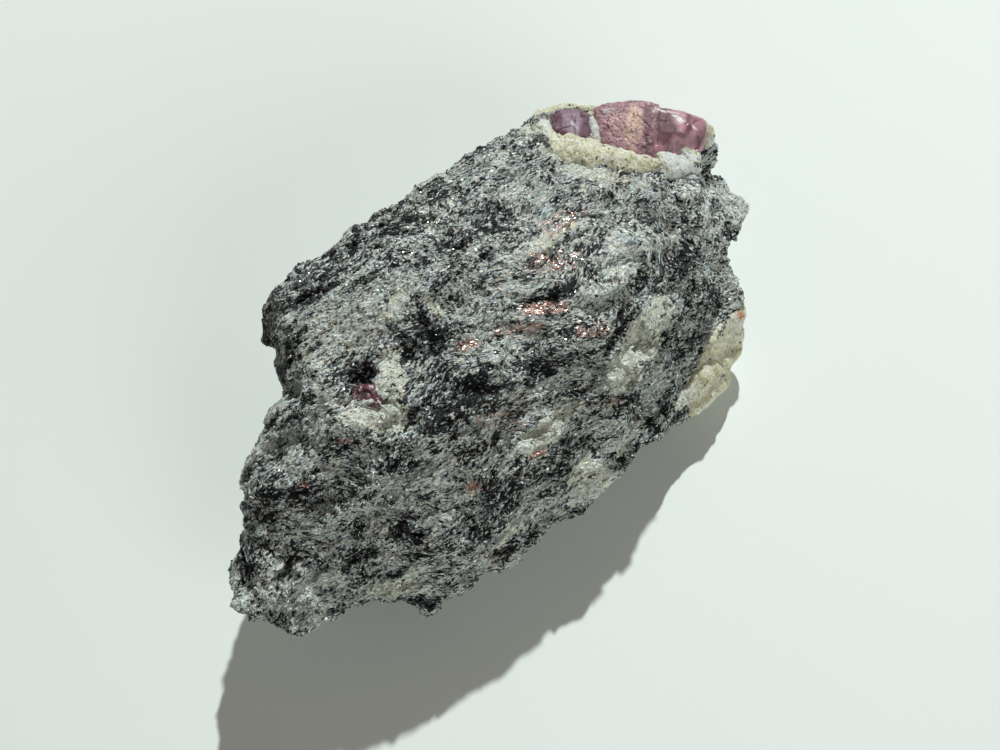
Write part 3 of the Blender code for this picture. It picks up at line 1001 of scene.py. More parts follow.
def colours_group():
    """Turns how pale and how creamy a spot is into a mineral's colour, uneven from grain to grain."""
    group, given, made = new_group(
        "Mineral colours",
        {"Paleness": 0.5, "Creamy": 0.0, "Tint": 0.5, "Shade": 0.5},
        ("Colour",),
        output_kind="NodeSocketColor",
    )
    paleness = given.outputs["Paleness"]
    creamy = given.outputs["Creamy"]
    colour = blend(group, creamy, ramp(group, paleness, ROCK_COLOURS), ramp(group, paleness, CREAM_COLOURS))
    colour = blend(group, 1.0, colour, ramp(group, given.outputs["Tint"], GRAIN_TINTS), way="MULTIPLY")
    shades = ramp(group, given.outputs["Shade"], GRAIN_SHADES)
    uneven = blend(group, weigh(group, (creamy, CREAM_EVENNESS)), shades, (1.0, 1.0, 1.0))
    feed(group, made, {"Colour": blend(group, 1.0, colour, uneven, way="MULTIPLY")})
    return group


COLOURS = colours_group()
print("groups:", [group.name for group in bpy.data.node_groups])

# %% [markdown]
# ## The gneiss
# Up close the rock is pepper and salt. How pale a spot is adds up the tone of the place, the streaks
# and three sizes of grain, so no grain has an outline of its own and none stands apart from its band.
# The same grains give the height for the bump, and little treads on it catch the light from above.

# %% Helpers for materials


def new_material(name):
    material = bpy.data.materials.new(name)
    material.use_nodes = True
    tree = material.node_tree
    return material, tree, tree.nodes["Principled BSDF"]


def named_value(tree, name):
    """A number that the mesh keeps for each point."""
    return add_node(tree, "ShaderNodeAttribute", attribute_name=name).outputs["Fac"]


def add_bump(tree, shader, height, strength=1.0):
    """Lets a height in millimetres tilt the surface's normal."""
    bump = add_node(tree, "ShaderNodeBump", {"Strength": strength, "Distance": MM, "Height": height})
    feed(tree, shader, {"Normal": bump.outputs["Normal"]})


# %% Material: gneiss
# copper mica, so pale pink that it reads as a glint even in shade: partly a painted glint
COPPER_AND_GLINT_COLOUR = (1.00, 0.80, 0.74)
GRAIN_STRETCH = (0.5, 1.0, 1.0)
# large, coarse and fine grains: size in mm and how far their faces tilt
ROCK_GRAINS = ((0.95, 0.5), (0.40, 0.9), (0.21, 1.0))
BASE_PALENESS = -1.03
SMALL_STEP = 0.42 * MM
SMALL_STEP_WAVE = 2.6


def small_steps(tree, ragged):
    """A saw-tooth 0 to 1 up every slope; subtracted from the height it makes treads that face up."""
    place = add_node(tree, "ShaderNodeTexCoord").outputs["Object"]
    upwards = on_vectors(tree, "DOT_PRODUCT", place, TREADS_FACE / SMALL_STEP, output="Value")
    return calculate(tree, "FRACT", weigh(tree, (upwards, 1.0), (ragged, SMALL_STEP_WAVE)))


def gneiss_material():
    material, tree, shader = new_material("gneiss")
    grain = add_node(tree, "ShaderNodeAttribute", attribute_name="grain").outputs["Vector"]
    drawn = on_vectors(tree, "MULTIPLY", grain, GRAIN_STRETCH)
    streaks = use_group(tree, STREAKS, {"Vector": grain})
    lines = streaks["Lines"]
    large, coarse, fine = (
        use_group(tree, GRAINS, {"Vector": drawn, "Grain Size": size, "Tilt": tilt})
        for size, tilt in ROCK_GRAINS
    )

    sparks = between(tree, coarse["Flash"], 0.84, 0.92)
    holes = between(tree, coarse["Flash"], 0.14, 0.06)
    paleness = weigh(
        tree, (1.0, BASE_PALENESS), (named_value(tree, "tone"), 1.1),
        (lines, 0.50), (streaks["Fibres"], 0.52),
        (large["Shade"], 0.30), (coarse["Shade"], 0.88), (fine["Shade"], 1.14),
        (sparks, 0.60), (holes, -0.50),
    )
    creamy = weigh(tree, (named_value(tree, "cream"), 1.0), (lines, 0.5), (coarse["Shade"], 0.4))
    colour = use_group(tree, COLOURS, {
        "Paleness": paleness,
        "Creamy": between(tree, creamy, 0.75, 1.1),
        "Tint": coarse["Flash"],
        "Shade": fine["Flash"],
    })["Colour"]
    copper = weigh(tree, (named_value(tree, "copper"), between(tree, fine["Flash"], 0.90, 0.93)))
    feed(tree, shader, {
        "Base Color": blend(tree, copper, colour, COPPER_AND_GLINT_COLOUR),
        "Metallic": calculate(tree, "MULTIPLY", copper, 0.8, clamp=True),
        "Roughness": between(tree, fine["Flash"], 0.0, 1.0, 0.36, 0.66),
        "Specular IOR Level": 0.40,
    })
    add_bump(tree, shader, weigh(
        tree, (large["Height"], 1.0), (coarse["Height"], 1.6), (fine["Height"], 1.5),
        (streaks["Fibres"], 0.10), (lines, 0.14), (small_steps(tree, lines), -0.22),
    ))
    return material


def dress(piece, material, node):
    """Gives a new piece its material, and lets it stand for a CAD node."""
    piece.data.materials.clear()
    piece.data.materials.append(material)
    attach(piece, "root")
    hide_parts(node)
    print(piece.name, "is finished with", material.name, "and stands for", node)


dress(skin, gneiss_material(), "gneiss_matrix")

# %% [markdown]
# ## Grains that stick out
# A broken rock isn't a smooth sheet with a pattern: thousands of single grains stand out of it, white
# slivers of feldspar, black needles of hornblende, thin six-sided flakes of mica. A particle system
# could scatter them, but the rock needs real meshes and each grain has to know its place. So numpy
# picks random spots on the skin, builds a small closed solid with its own tilt at each, partly sunk
# in the rock, and puts all solids of one mineral into one mesh.

# %% Pick random spots on the skin
SPOT_LOWEST = 0.7 * MM


def skin_spots():
    """Each triangle of the skin: its corners, normal, area (less where calm), tone, cream and copper."""
    mesh = skin.data
    mesh.calc_loop_triangles()
    corners = np.empty(3 * len(mesh.loop_triangles), dtype=np.int32)
    mesh.loop_triangles.foreach_get("vertices", corners)
    corners = corners.reshape(-1, 3)
    points = np.empty(3 * len(mesh.vertices), dtype=np.float32)
    mesh.vertices.foreach_get("co", points)
    points = points.reshape(-1, 3)[corners].astype(float)
    normals = np.cross(points[:, 1] - points[:, 0], points[:, 2] - points[:, 0])
    twice = np.linalg.norm(normals, axis=1)
    values = {label: read_values(skin, label)[corners].mean(axis=1) for label in ("tone", "cream", "copper")}
    areas = twice / 2 * (roughness_left(points.mean(axis=1)) ** 2)
    return points, normals / np.maximum(twice, 1e-12)[:, None], areas, values


SPOTS, SPOT_NORMALS, SPOT_AREAS, SPOT_VALUES = skin_spots()


def pick_spots(count, wish, random):
    """Random places, their normals and values; a triangle counts by its area and its wish."""
    low_enough = SPOTS[:, :, 2].min(axis=1) > SPOT_LOWEST
    weights = SPOT_AREAS * np.clip(wish, 0, None) * low_enough
    chosen = random.choice(len(weights), size=count, p=weights / weights.sum())
    shares = random.dirichlet((1.0, 1.0, 1.0), count)
    places = np.einsum("ij,ijk->ik", shares, SPOTS[chosen])
    values = {label: value[chosen] for label, value in SPOT_VALUES.items()}
    return places, SPOT_NORMALS[chosen], values


print("skin area", round(float(SPOT_AREAS.sum()) / MM ** 2), "square mm")

# %% Build the grains: little blocks and six-sided plates
BLOCK_CORNERS = np.array([(x, y, z) for z in (-1, 1) for y in (-1, 1) for x in (-1, 1)], dtype=float)
BLOCK_FACES = ((0, 2, 3, 1), (4, 5, 7, 6), (0, 1, 5, 4), (2, 6, 7, 3), (0, 4, 6, 2), (1, 3, 7, 5))
SIZE_SPREAD = 0.35
STREAK_SCATTER = 1.8
PLATE_TURNS = np.arange(6) * math.tau / 6
PLATE_CORNERS = np.array([(math.cos(turn), math.sin(turn), z) for z in (-1, 1) for turn in PLATE_TURNS])
PLATE_FACES = ((0, 5, 4, 3), (0, 3, 2, 1), (6, 7, 8, 9), (6, 9, 10, 11)) + tuple(
    (side, (side + 1) % 6, (side + 1) % 6 + 6, side + 6) for side in range(6)
)


def unit(vectors):
    return vectors / np.maximum(np.linalg.norm(vectors, axis=-1, keepdims=True), 1e-9)


def random_sizes(usual, least, most, count, random):
    """Sizes in mm, most of them near the usual one."""
    return np.clip(random.lognormal(math.log(usual), SIZE_SPREAD, count), least, most)


def grain_frames(places, normals, lie, scatter, random, sheets=SQUARE):
    """Three axes for each grain: along the rock's grain, across it, and out of the surface."""
    out = unit((1 - lie) * normals + lie * np.array(sheets) + scatter * random.normal(size=normals.shape))
    along = np.array([local_along(Vector(place)) for place in places])
    along += STREAK_SCATTER * scatter * random.normal(size=normals.shape)
    along = unit(along - out * (along * out).sum(axis=1, keepdims=True))
    return np.stack([along, np.cross(out, along), out], axis=1)


def split_faces(faces):
    """Cuts each four-sided face into two triangles."""
    return np.array([corners for a, b, c, d in faces for corners in ((a, b, c), (a, c, d))])


def build_grains(name, corners, faces, places, frames, halves, uneven, sink, random):
    """One mesh of many small closed solids; halves are each one's half sizes in mm."""
    shapes = corners[None] * (1 + uneven * random.uniform(-1, 1, (len(places), len(corners), 3)))
    offsets = np.einsum("gck,gkx->gcx", shapes * halves[:, None, :], frames) * MM
    middles = places - frames[:, 2] * (sink * halves[:, 2, None] * MM)
    points = np.clip(middles[:, None] + offsets, np.array(CAD_BOX[0]), np.array(CAD_BOX[1]))
    triangles = split_faces(faces)[None] + (np.arange(len(places)) * len(corners))[:, None, None]
    mesh = bpy.data.meshes.new(name)
    mesh.from_pydata(points.reshape(-1, 3), [], triangles.reshape(-1, 3))
    piece = bpy.data.objects.new(name, mesh)
    scene.collection.objects.link(piece)
    print(name, len(places), "grains,", len(mesh.polygons), "triangles")
    return piece


def keep_per_grain(piece, name, values):
    """Gives every point of a grain that grain's number."""
    keep_values(piece, name, np.repeat(values, len(piece.data.vertices) // len(values)))


# %% Slivers of feldspar and needles of hornblende
PALE_GRAINS = 14000
DARK_GRAINS = 10000
# usual, least and most length in mm
GRAIN_LENGTHS = (0.44, 0.24, 1.0)
GRAIN_WIDTHS = (0.08, 0.15)
# mean and spread of how pale they are
PALE_SHADES = (0.86, 0.16)
DARK_SHADES = (0.20, 0.14)


def rock_grains(name, count, wish, shades, seed):
    """Long thin grains of one mineral, the longer ones a little wider."""
    random = np.random.default_rng(seed)
    places, normals, values = pick_spots(count, wish, random)
    length = random_sizes(*GRAIN_LENGTHS, count, random) / 2
    width = random.uniform(*GRAIN_WIDTHS, count) * (0.7 + 0.6 * length)
    halves = np.stack([length, width, width * random.uniform(0.6, 1.0, count)], axis=1)
    frames = grain_frames(places, normals, lie=0.0, scatter=0.20, random=random)
    piece = build_grains(
        name, BLOCK_CORNERS, BLOCK_FACES, places, frames, halves, uneven=0.34, sink=0.65, random=random,
    )
    mean, spread = shades
    keep_per_grain(piece, "tone", mean + spread * random.normal(size=count) + 0.5 * values["tone"])
    keep_per_grain(piece, "cream", values["cream"] * random.uniform(0.5, 1.5, count))
    keep_per_grain(piece, "tint", random.uniform(size=count))
    return piece


pale_places = 0.45 + SPOT_VALUES["tone"] + 0.3 * SPOT_VALUES["cream"]
dark_places = 0.55 - SPOT_VALUES["tone"] - 0.3 * SPOT_VALUES["cream"]
pale_grains = rock_grains("pale_grains", PALE_GRAINS, pale_places, PALE_SHADES, seed=11)
dark_grains = rock_grains("dark_grains", DARK_GRAINS, dark_places, DARK_SHADES, seed=12)

# %% Material: single grains


def grain_material():
    """The rock's minerals again, with one colour for each grain and a sugary break."""
    material, tree, shader = new_material("single_grains")
    sugar = use_group(tree, GRAINS, {"Vector": place_in_mm(tree), "Grain Size": 0.16, "Tilt": 0.5})
    colour = use_group(tree, COLOURS, {
        "Paleness": weigh(tree, (named_value(tree, "tone"), 1.0), (sugar["Shade"], 0.24), (1.0, -0.12)),
        "Creamy": between(tree, named_value(tree, "cream"), 0.30, 0.60),
        "Tint": named_value(tree, "tint"),
        "Shade": sugar["Flash"],
    })["Colour"]
    feed(tree, shader, {
        "Base Color": colour,
        "Roughness": between(tree, sugar["Flash"], 0.0, 1.0, 0.28, 0.58),
        "Specular IOR Level": 0.35,
    })
    add_bump(tree, shader, sugar["Height"], strength=0.6)
    return material


single_grains = grain_material()
for piece in (pale_grains, dark_grains):
    dress(piece, single_grains, "gneiss_matrix")

# %% [markdown]
# Mica splits into sheets, so its grains are thin six-sided plates that lie in the layers. Each one
# shines like metal, and shows as a spark where its tilt happens to send the lamp to the camera. On the
# real stone some flakes are coppery: they gather in the coppery places that were painted above, and
# they lie so that the sun glances off them towards the viewer.

# %% Mica flakes
MICA_FLAKES = 7000
COPPER_FLAKES = 900
# usual, least and most radius in mm
MICA_RADII = (0.12, 0.07, 0.24)
COPPER_RADII = (0.10, 0.06, 0.20)
FLAKE_THICKNESS = 0.22
GLANCING = (TO_LAMP + TO_VIEWER).normalized()


def flakes(name, count, wish, radii, seed, lie=0.45, sheets=SQUARE, longest=1.5):
    """Thin plates that lie more or less in the sheets, up to so many times longer than wide."""
    random = np.random.default_rng(seed)
    places, normals, values = pick_spots(count, wish, random)
    radius = random_sizes(*radii, count, random)
    length = radius * random.uniform(1.0, longest, count)
    halves = np.stack([length, radius, radius * FLAKE_THICKNESS], axis=1)
    frames = grain_frames(places, normals, lie, scatter=0.22, random=random, sheets=sheets)
    piece = build_grains(
        name, PLATE_CORNERS, PLATE_FACES, places, frames, halves, uneven=0.16, sink=0.2, random=random,
    )
    keep_per_grain(piece, "tint", random.uniform(size=count))
    return piece


mica_flakes = flakes("mica_flakes", MICA_FLAKES, 0.8 - SPOT_VALUES["cream"], MICA_RADII, seed=21)
copper_flakes = flakes(
    "copper_flakes", COPPER_FLAKES, SPOT_VALUES["copper"] ** 2, COPPER_RADII, seed=22,
    lie=0.7, sheets=GLANCING, longest=4.0,
)

# %% Material: mica
MICA_DARK = (0.03, 0.035, 0.04)
MICA_BRIGHT = (0.80, 0.84, 0.84)
COPPER_DARK = (0.55, 0.31, 0.25)
COPPER_BRIGHT = (1.00, 0.74, 0.64)


def flake_material(name, dark, bright, metallic):
    """Half a metal, each flake darker or brighter than the next."""
    material, tree, shader = new_material(name)
    sheets = use_group(tree, GRAINS, {"Vector": place_in_mm(tree), "Grain Size": 0.35, "Tilt": 0.15})
    shade = weigh(tree, (named_value(tree, "tint"), 0.8), (sheets["Shade"], 0.3), (1.0, -0.05))
    feed(tree, shader, {
        "Base Color": ramp(tree, shade, ((0.0, dark), (1.0, bright))),
        "Metallic": metallic,
        "Roughness": between(tree, sheets["Flash"], 0.0, 1.0, 0.20, 0.38),
    })
    add_bump(tree, shader, sheets["Height"], strength=0.5)
    return material


mica = flake_material("mica", MICA_DARK, MICA_BRIGHT, metallic=0.5)
copper_mica = flake_material("copper_mica", COPPER_DARK, COPPER_BRIGHT, metallic=0.6)
dress(mica_flakes, mica, "gneiss_matrix")
dress(copper_flakes, copper_mica, "gneiss_matrix")

# %% [markdown]
# ## Feldspar
# Feldspar is the cream mineral round the rubies and in the lump on the right flank. It is broken
# sugar-like, translucent at its edges, yellow to white, with black specks of mica in it. The CAD
# leaves a hair's breadth between the pieces; in the real rock they grew together, so each feldspar
# here is grown outwards by a little more than that gap and its outline is made ragged.

# %% Shape: feldspar
FELDSPAR_VOXEL = 0.24 * MM
FELDSPAR_GROWTH = 0.38
FELDSPAR_SHARPEST = 30
FELDSPAR_RELIEF = ((3.6, 0.50), (1.7, 0.34), (0.7, 0.12))
FELDSPAR_CHIPS = ((Vector((2.4, 2.4, 2.4)), 0.30), (Vector((0.9, 0.9, 0.9)), 0.28))


def rough_growth(piece, growth, relief):
    """Moves each point outwards by the growth and by noises of several sizes, in mm."""
    normals = [vertex.normal.copy() for vertex in piece.data.vertices]
    for vertex, normal in zip(piece.data.vertices, normals):
        height = growth + waves(vertex.co, relief)
        height += chip_height(vertex.co / MM, FELDSPAR_CHIPS)
        vertex.co = inside_box(vertex.co + normal * height * MM)
    shade_facets(piece, FELDSPAR_SHARPEST)


# %% Ridges: places in the picture, each with its height over the floor and its radius in mm
# a ridge of None height lies sunk in the stone's own surface
RIM_RIDGES = {
    "left shoulder": (((538, 126), 30.5, 1.3), ((544, 134), 31.3, 1.5), ((553, 146), 32.9, 1.5)),
    "ridge behind": (
        ((543, 120), 29.6, 1.3), ((555, 113), 29.2, 1.0), ((574, 112), 29.2, 0.9), ((593, 112), 29.6, 0.8),
    ),
    "vein": (((590, 116), 31.3, 0.55), ((594, 127), 31.5, 0.55), ((598, 140), 31.1, 0.7)),
    "band": (
        ((555, 149), 33.0, 1.6), ((569, 152), 33.2, 1.9), ((590, 154), 32.5, 1.9), ((610, 158), 31.9, 1.5),
        ((630, 163), 31.1, 1.4), ((646, 165), 30.3, 1.2),
    ),
    "white end": (
        ((656, 163), 29.4, 1.2), ((670, 163), 28.5, 1.4), ((686, 161), 27.6, 1.3), ((694, 159), 27.0, 1.0),
    ),
    "foot of the band": (
        ((560, 154), None, 2.0), ((572, 159), None, 2.3), ((590, 162), None, 2.4), ((610, 164), None, 2.2),
        ((630, 167), None, 2.3), ((648, 168), None, 2.1),
    ),
    "foot of the white end": (((664, 167), None, 2.1), ((680, 167), None, 2.3), ((690, 165), None, 2.1)),
    "right cap": (((703, 124), 28.4, 0.8), ((707, 131), 27.2, 0.9), ((708, 139), 26.2, 0.9)),
}
FLANK_RIDGES = {
    "upper end": (((739, 308), 9.6, 0.9), ((735, 325), 8.6, 1.2)),
    "lower end": (
        ((710, 370), 7.4, 1.7), ((694, 387), 7.4, 1.6), ((681, 399), 7.8, 1.2), ((673, 407), 8.2, 0.8),
    ),
}
BALL_SPACING = 0.35 * MM
BALL_SINK = 1.7 * MM


def ball_place(place, height):
    """The middle of a ball: at its height over the floor, or else under the stone's surface."""
    if height is None:
        return place_on_stone(*place) - TO_VIEWER * BALL_SINK
    return seen_at_height(*place, height)


def add_ridges(piece, ridges):
    """Puts rows of overlapping balls into the mesh; the remesh then melts them into one body."""
    work = bmesh.new()
    work.from_mesh(piece.data)
    for row in ridges.values():
        stops = [(ball_place(place, height), radius) for place, height, radius in row]
        for (start, start_radius), (end, end_radius) in zip(stops, stops[1:]):
            count = max(1, math.ceil((end - start).length / BALL_SPACING))
            for number in range(count + 1):
                share = number / count
                radius = start_radius + (end_radius - start_radius) * share
                middle = Matrix.Translation(start.lerp(end, share))
                bmesh.ops.create_icosphere(work, subdivisions=2, radius=radius * MM, matrix=middle)
    work.to_mesh(piece.data)
    work.free()


def feldspar_piece(name, node, ridges):
    piece = merged_copy(name, node)
    add_ridges(piece, ridges)
    remesh_evenly(piece, FELDSPAR_VOXEL, smoothings=10)
    rough_growth(piece, FELDSPAR_GROWTH, FELDSPAR_RELIEF)
    print(name, triangle_count(piece), "triangles")
    return piece


rim = feldspar_piece("feldspar_rim_crust", "feldspar_rim", RIM_RIDGES)
lump = feldspar_piece("feldspar_lump_crust", "feldspar_lump", FLANK_RIDGES)

# %% Paint the feldspar: where it is white and glassy instead of yellow
GLASSY_PATCHES = {
    "right end of the rim": ((681, 165), 3.4, 2.4, -5, 1.2),
    "vein between the crystals": ((593, 128), 2.6, 0.9, -65, 0.8),
    "left shoulder": ((545, 130), 2.0, 1.4, 60, 0.6),
    "right cap": ((711, 145), 1.4, 1.0, 80, 0.8),
    "middle of the rim": ((612, 160), 2.0, 0.7, -12, 0.4),
    "foot of the lump": ((684, 396), 2.5, 1.6, 60, 0.5),
    "top of the lump": ((738, 322), 1.6, 1.2, 60, 0.5),
}
# where grains of the dark rock are mixed in
MIXED_PATCHES = {
    "top edge": ((568, 112), 4.2, 0.80, 8, 1.0),
    "left shoulder, outer": ((537, 120), 2.0, 0.6, 40, 0.9),
    "left shoulder, low": ((543, 141), 2.2, 0.7, -60, 0.9),
    "under the band, left": ((568, 167), 3.4, 0.7, -14, 0.8),
    "under the band, right": ((620, 175), 4.6, 0.6, -8, 0.75),
    "end of the white part": ((697, 165), 1.0, 0.9, 60, 0.7),
    "upper edge of the lump": ((724, 324), 3.6, 0.4, 62, 0.8),
    "black grain of the lump": ((722, 376), 0.5, 0.3, 20, 1.6),
}
RUSTY_PATCHES = {"upper end of the lump": ((740, 316), 0.5, 0.6, 0, 1.6)}
FELDSPAR_MARKS = {"glassy": GLASSY_PATCHES, "mixed": MIXED_PATCHES, "rusty": RUSTY_PATCHES}
for piece in (rim, lump):
    keep_marks(piece, FELDSPAR_MARKS)

# %% [markdown]
# The light goes a little way into feldspar before it comes back, so its edges glow and its hollows are
# never black. Subsurface scattering does that. Its colour drifts from yellow to cream in a cloud, its
# break glitters like sugar, and where the dark rock begins its grains are mixed in.

# %% Material: feldspar
YELLOW_FELDSPAR = (0.675, 0.675, 0.480)
CREAM_FELDSPAR = (0.810, 0.825, 0.690)
WHITE_FELDSPAR = (0.780, 0.830, 0.820)
SPECK_COLOUR = (0.015, 0.016, 0.014)
RUST_COLOUR = (0.85, 0.36, 0.20)
MIXED_COLOURS = ((0.0, (0.012, 0.014, 0.013)), (0.5, (0.14, 0.15, 0.14)), (1.0, (0.55, 0.58, 0.52)))
SUGAR_SHADES = ((0.0, (0.62, 0.60, 0.54)), (0.4, (0.96, 0.96, 0.94)), (1.0, (1.15, 1.15, 1.12)))
FELDSPAR_GLOW = (2.2 * MM, 2.0 * MM, 1.2 * MM)


def feldspar_material():
    material, tree, shader = new_material("feldspar")
    place = place_in_mm(tree)
    cloud = add_node(tree, "ShaderNodeTexNoise", {"Vector": place, "Scale": 0.45, "Detail": 4.0}).outputs[0]
    gathered = add_node(tree, "ShaderNodeTexNoise", {"Vector": place, "Scale": 0.5, "Detail": 2.0}).outputs[0]
    sugar = use_group(tree, GRAINS, {"Vector": place, "Grain Size": 0.30, "Tilt": 0.7})
    specks = use_group(tree, GRAINS, {"Vector": place, "Grain Size": 0.38, "Pale Share": 0.08, "Tilt": 0.0})
    colour = blend(tree, between(tree, cloud, 0.36, 0.64), YELLOW_FELDSPAR, CREAM_FELDSPAR)
    colour = blend(tree, named_value(tree, "glassy"), colour, WHITE_FELDSPAR)
    colour = blend(tree, 0.8, colour, ramp(tree, sugar["Shade"], SUGAR_SHADES), way="MULTIPLY")
    speck = weigh(tree, (specks["Pale"], between(tree, gathered, 0.44, 0.56)))
    colour = blend(tree, speck, colour, SPECK_COLOUR)
    mixed = between(tree, weigh(tree, (named_value(tree, "mixed"), 1.0), (sugar["Flash"], 0.7)), 0.75, 0.95)
    colour = blend(tree, mixed, colour, ramp(tree, sugar["Shade"], MIXED_COLOURS))
    colour = blend(tree, weigh(tree, (named_value(tree, "rusty"), sugar["Shade"])), colour, RUST_COLOUR)
    feed(tree, shader, {
        "Base Color": colour,
        "Roughness": between(tree, sugar["Flash"], 0.0, 1.0, 0.38, 0.66),
        "Subsurface Weight": 0.45,
        "Subsurface Radius": FELDSPAR_GLOW,
        "Subsurface Scale": 1.0,
    })
    add_bump(tree, shader, weigh(tree, (sugar["Height"], 1.0), (cloud, 0.15)))
    return material


feldspar = feldspar_material()
dress(rim, feldspar, "feldspar_rim")
dress(lump, feldspar, "feldspar_lump")

# %% [markdown]
# ## Rubies
# Corundum grows as a six-sided barrel. Its flat ends are stacked like coins, so a worn crystal shows
# steps and fine lines round its waist. The large crystal here is crushed to sugar on its left half,
# with tan grains in it, and glassy on its right half, where one flake has broken off. Each crystal's
# faces are flat, so a convex hull is wrapped round the CAD solid and a few named corners. The coins are
# then made by moving points in or out by a value that depends only on the place along the crystal, and
# the crushed part by angular cells.

# %% Patterns of the rubies
COIN_THICKNESS = 1.5
COIN_STEP = 0.08
LINE_SPACING = 0.42
LINE_DEPTH = 0.02
# coins and lines read their random numbers along two rows of their own
COIN_ROW = (3.7, 1.9)
LINE_ROW = (8.1, 2.3)
COIN_WAVES = ((2.2, 0.35),)
CRUSHED_SUGAR = ((0.5, 0.05),)
CRUSHED_EDGE = ((2.5, 1.4),)
CRUSHED_STEEPNESS = 6
BREAK_WAVES = ((1.5, 0.02),)
BREAK_EDGE = 0.012
BREAK_SLOPE = 1.15
CRUSHED_CHIPS = ((Vector((1.6, 1.6, 1.6)), 0.26), (Vector((0.7, 0.7, 0.7)), 0.34))
GLASSY_CHIPS = ((Vector((3.6, 3.6, 3.6)), 0.20), (Vector((1.6, 1.6, 1.6)), 0.05))


def break_depth(share, broken):
    """How deep a place is in a face that starts with a sharp edge and rises back to the surface, in mm."""
    start, end, depth = broken
    if not start < share < end:
        return 0.0
    return depth * min(1.0, (end - share) / (end - start) * BREAK_SLOPE, (share - start) / BREAK_EDGE)


def crystal_relief(place, start, axis, length, crushed_until, broken):
    """How far a point of a ruby moves outwards, in mm, and how crushed it is, 0 to 1."""
    reach = (place - start).dot(axis) / MM
    jitter = waves(place, COIN_WAVES)
    coin = noise.cell(Vector(((reach + jitter) / COIN_THICKNESS, *COIN_ROW))) - 0.5
    line = noise.noise(Vector(((reach + 0.5 * jitter) / LINE_SPACING, *LINE_ROW)))
    smooth_part = COIN_STEP * coin + LINE_DEPTH * line + chip_height(place / MM, GLASSY_CHIPS)
    crushed_part = chip_height(place / MM, CRUSHED_CHIPS) + waves(place, CRUSHED_SUGAR)
    share = reach * MM / length
    edge = (crushed_until - share) * CRUSHED_STEEPNESS + waves(place, CRUSHED_EDGE)
    crushed = max(0.0, min(1.0, 0.5 + edge))
    height = smooth_part * (1 - crushed) + crushed_part * crushed
    return height - break_depth(share + waves(place, BREAK_WAVES), broken), crushed


print("coins of", COIN_THICKNESS, "mm, lines every", LINE_SPACING, "mm")

# %% Places of the rubies
# the two ends of each crystal: place in the picture and height over the floor in mm
RUBY_ENDS = {
    "ruby_large": ((592, 122, 29.6), (704, 136, 27.4)),
    "ruby_small": ((552, 125, 30.4), (589, 125, 29.9)),
    "ruby_in_hollow": ((356, 399, 31.0), (378, 394, 32.0)),
}
# corners of their flat faces, given in the same way
RUBY_CORNERS = {
    "ruby_large": (
        (594, 113, 30.6), (606, 106, 31.2), (622, 102, 31.6), (640, 101.5, 31.6), (658, 105, 31.4),
        (673, 109.5, 31.4), (686, 113, 31.0), (698, 118, 30.2), (704, 131, 29.0), (702, 150, 27.0),
        (690, 154, 28.7), (672, 157, 29.8), (655, 159, 30.8), (640, 155, 31.8), (628, 151, 32.4),
        (612, 147, 32.5), (602, 142, 31.9), (597, 133, 31.2), (622, 126, 33.4), (652, 128, 33.0),
        (684, 134, 31.5),
    ),
    "ruby_small": (
        (550, 122, 31.7), (558, 113, 31.9), (577, 111, 31.9), (586, 118, 32.2), (591, 136, 31.4),
        (576, 140, 33.2), (562, 137, 33.2), (576, 124, 32.6),
    ),
    "ruby_in_hollow": (
        (351, 399, 33.0), (357, 391, 32.6), (367, 389, 32.9), (376, 395, 33.0), (383, 403, 32.6),
        (377, 407, 32.7), (364, 405, 33.1), (368, 398, 33.4),
    ),
}
# how far along each crystal its crushed part reaches, 0 to 1
CRUSHED_UNTIL = {"ruby_large": 0.50, "ruby_small": 0.05, "ruby_in_hollow": 0.3}
# a broken face beside the crushed part: where it starts and ends along the crystal, and its depth in mm
BROKEN_FACE = {"ruby_large": (0.55, 0.78, 0.50)}
NO_BREAK = (2.0, 3.0, 0.0)

print({node: len(corners) for node, corners in RUBY_CORNERS.items()}, "corners of flat faces")

# %% Shape: rubies
RUBY_VOXEL = 0.16 * MM
RUBY_GROWTH = 0.15
RUBY_SHARPEST = 24


def flat_faced(piece, corners):
    """Wraps the tightest flat-faced solid round the piece and some more corners."""
    work = bmesh.new()
    for place in [vertex.co for vertex in piece.data.vertices] + corners:
        work.verts.new(inside_box(place))
    hull = bmesh.ops.convex_hull(work, input=work.verts)
    unused = hull["geom_interior"] + hull["geom_unused"]
    spare = {item for item in unused if isinstance(item, bmesh.types.BMVert)}
    bmesh.ops.delete(work, geom=list(spare), context="VERTS")
    work.to_mesh(piece.data)
    work.free()


def ruby_piece(name, node):
    """One crystal: its flat faces, then its coins or its crushed part, in place of a CAD node."""
    ends = [seen_at_height(*end) for end in RUBY_ENDS[node]]
    length = (ends[1] - ends[0]).length
    axis = (ends[1] - ends[0]).normalized()
    piece = merged_copy(name, node)
    flat_faced(piece, [seen_at_height(*corner) for corner in RUBY_CORNERS[node]])
    remesh_evenly(piece, RUBY_VOXEL, smoothings=1)
    crushed_values = []
    normals = [vertex.normal.copy() for vertex in piece.data.vertices]
    for vertex, normal in zip(piece.data.vertices, normals):
        height, crushed = crystal_relief(
            vertex.co, ends[0], axis, length, CRUSHED_UNTIL[node], BROKEN_FACE.get(node, NO_BREAK),
        )
        vertex.co = inside_box(vertex.co + normal * (RUBY_GROWTH + height) * MM)
        crushed_values.append(crushed)
    shade_facets(piece, RUBY_SHARPEST)
    keep_values(piece, "crushed", crushed_values)
    print(name, round(length / MM, 1), "mm long,", triangle_count(piece), "triangles")
    return piece


ruby_large = ruby_piece("ruby_large_crystal", "ruby_large")
ruby_small = ruby_piece("ruby_small_crystal", "ruby_small")
ruby_in_hollow = ruby_piece("ruby_hollow_crystal", "ruby_in_hollow")
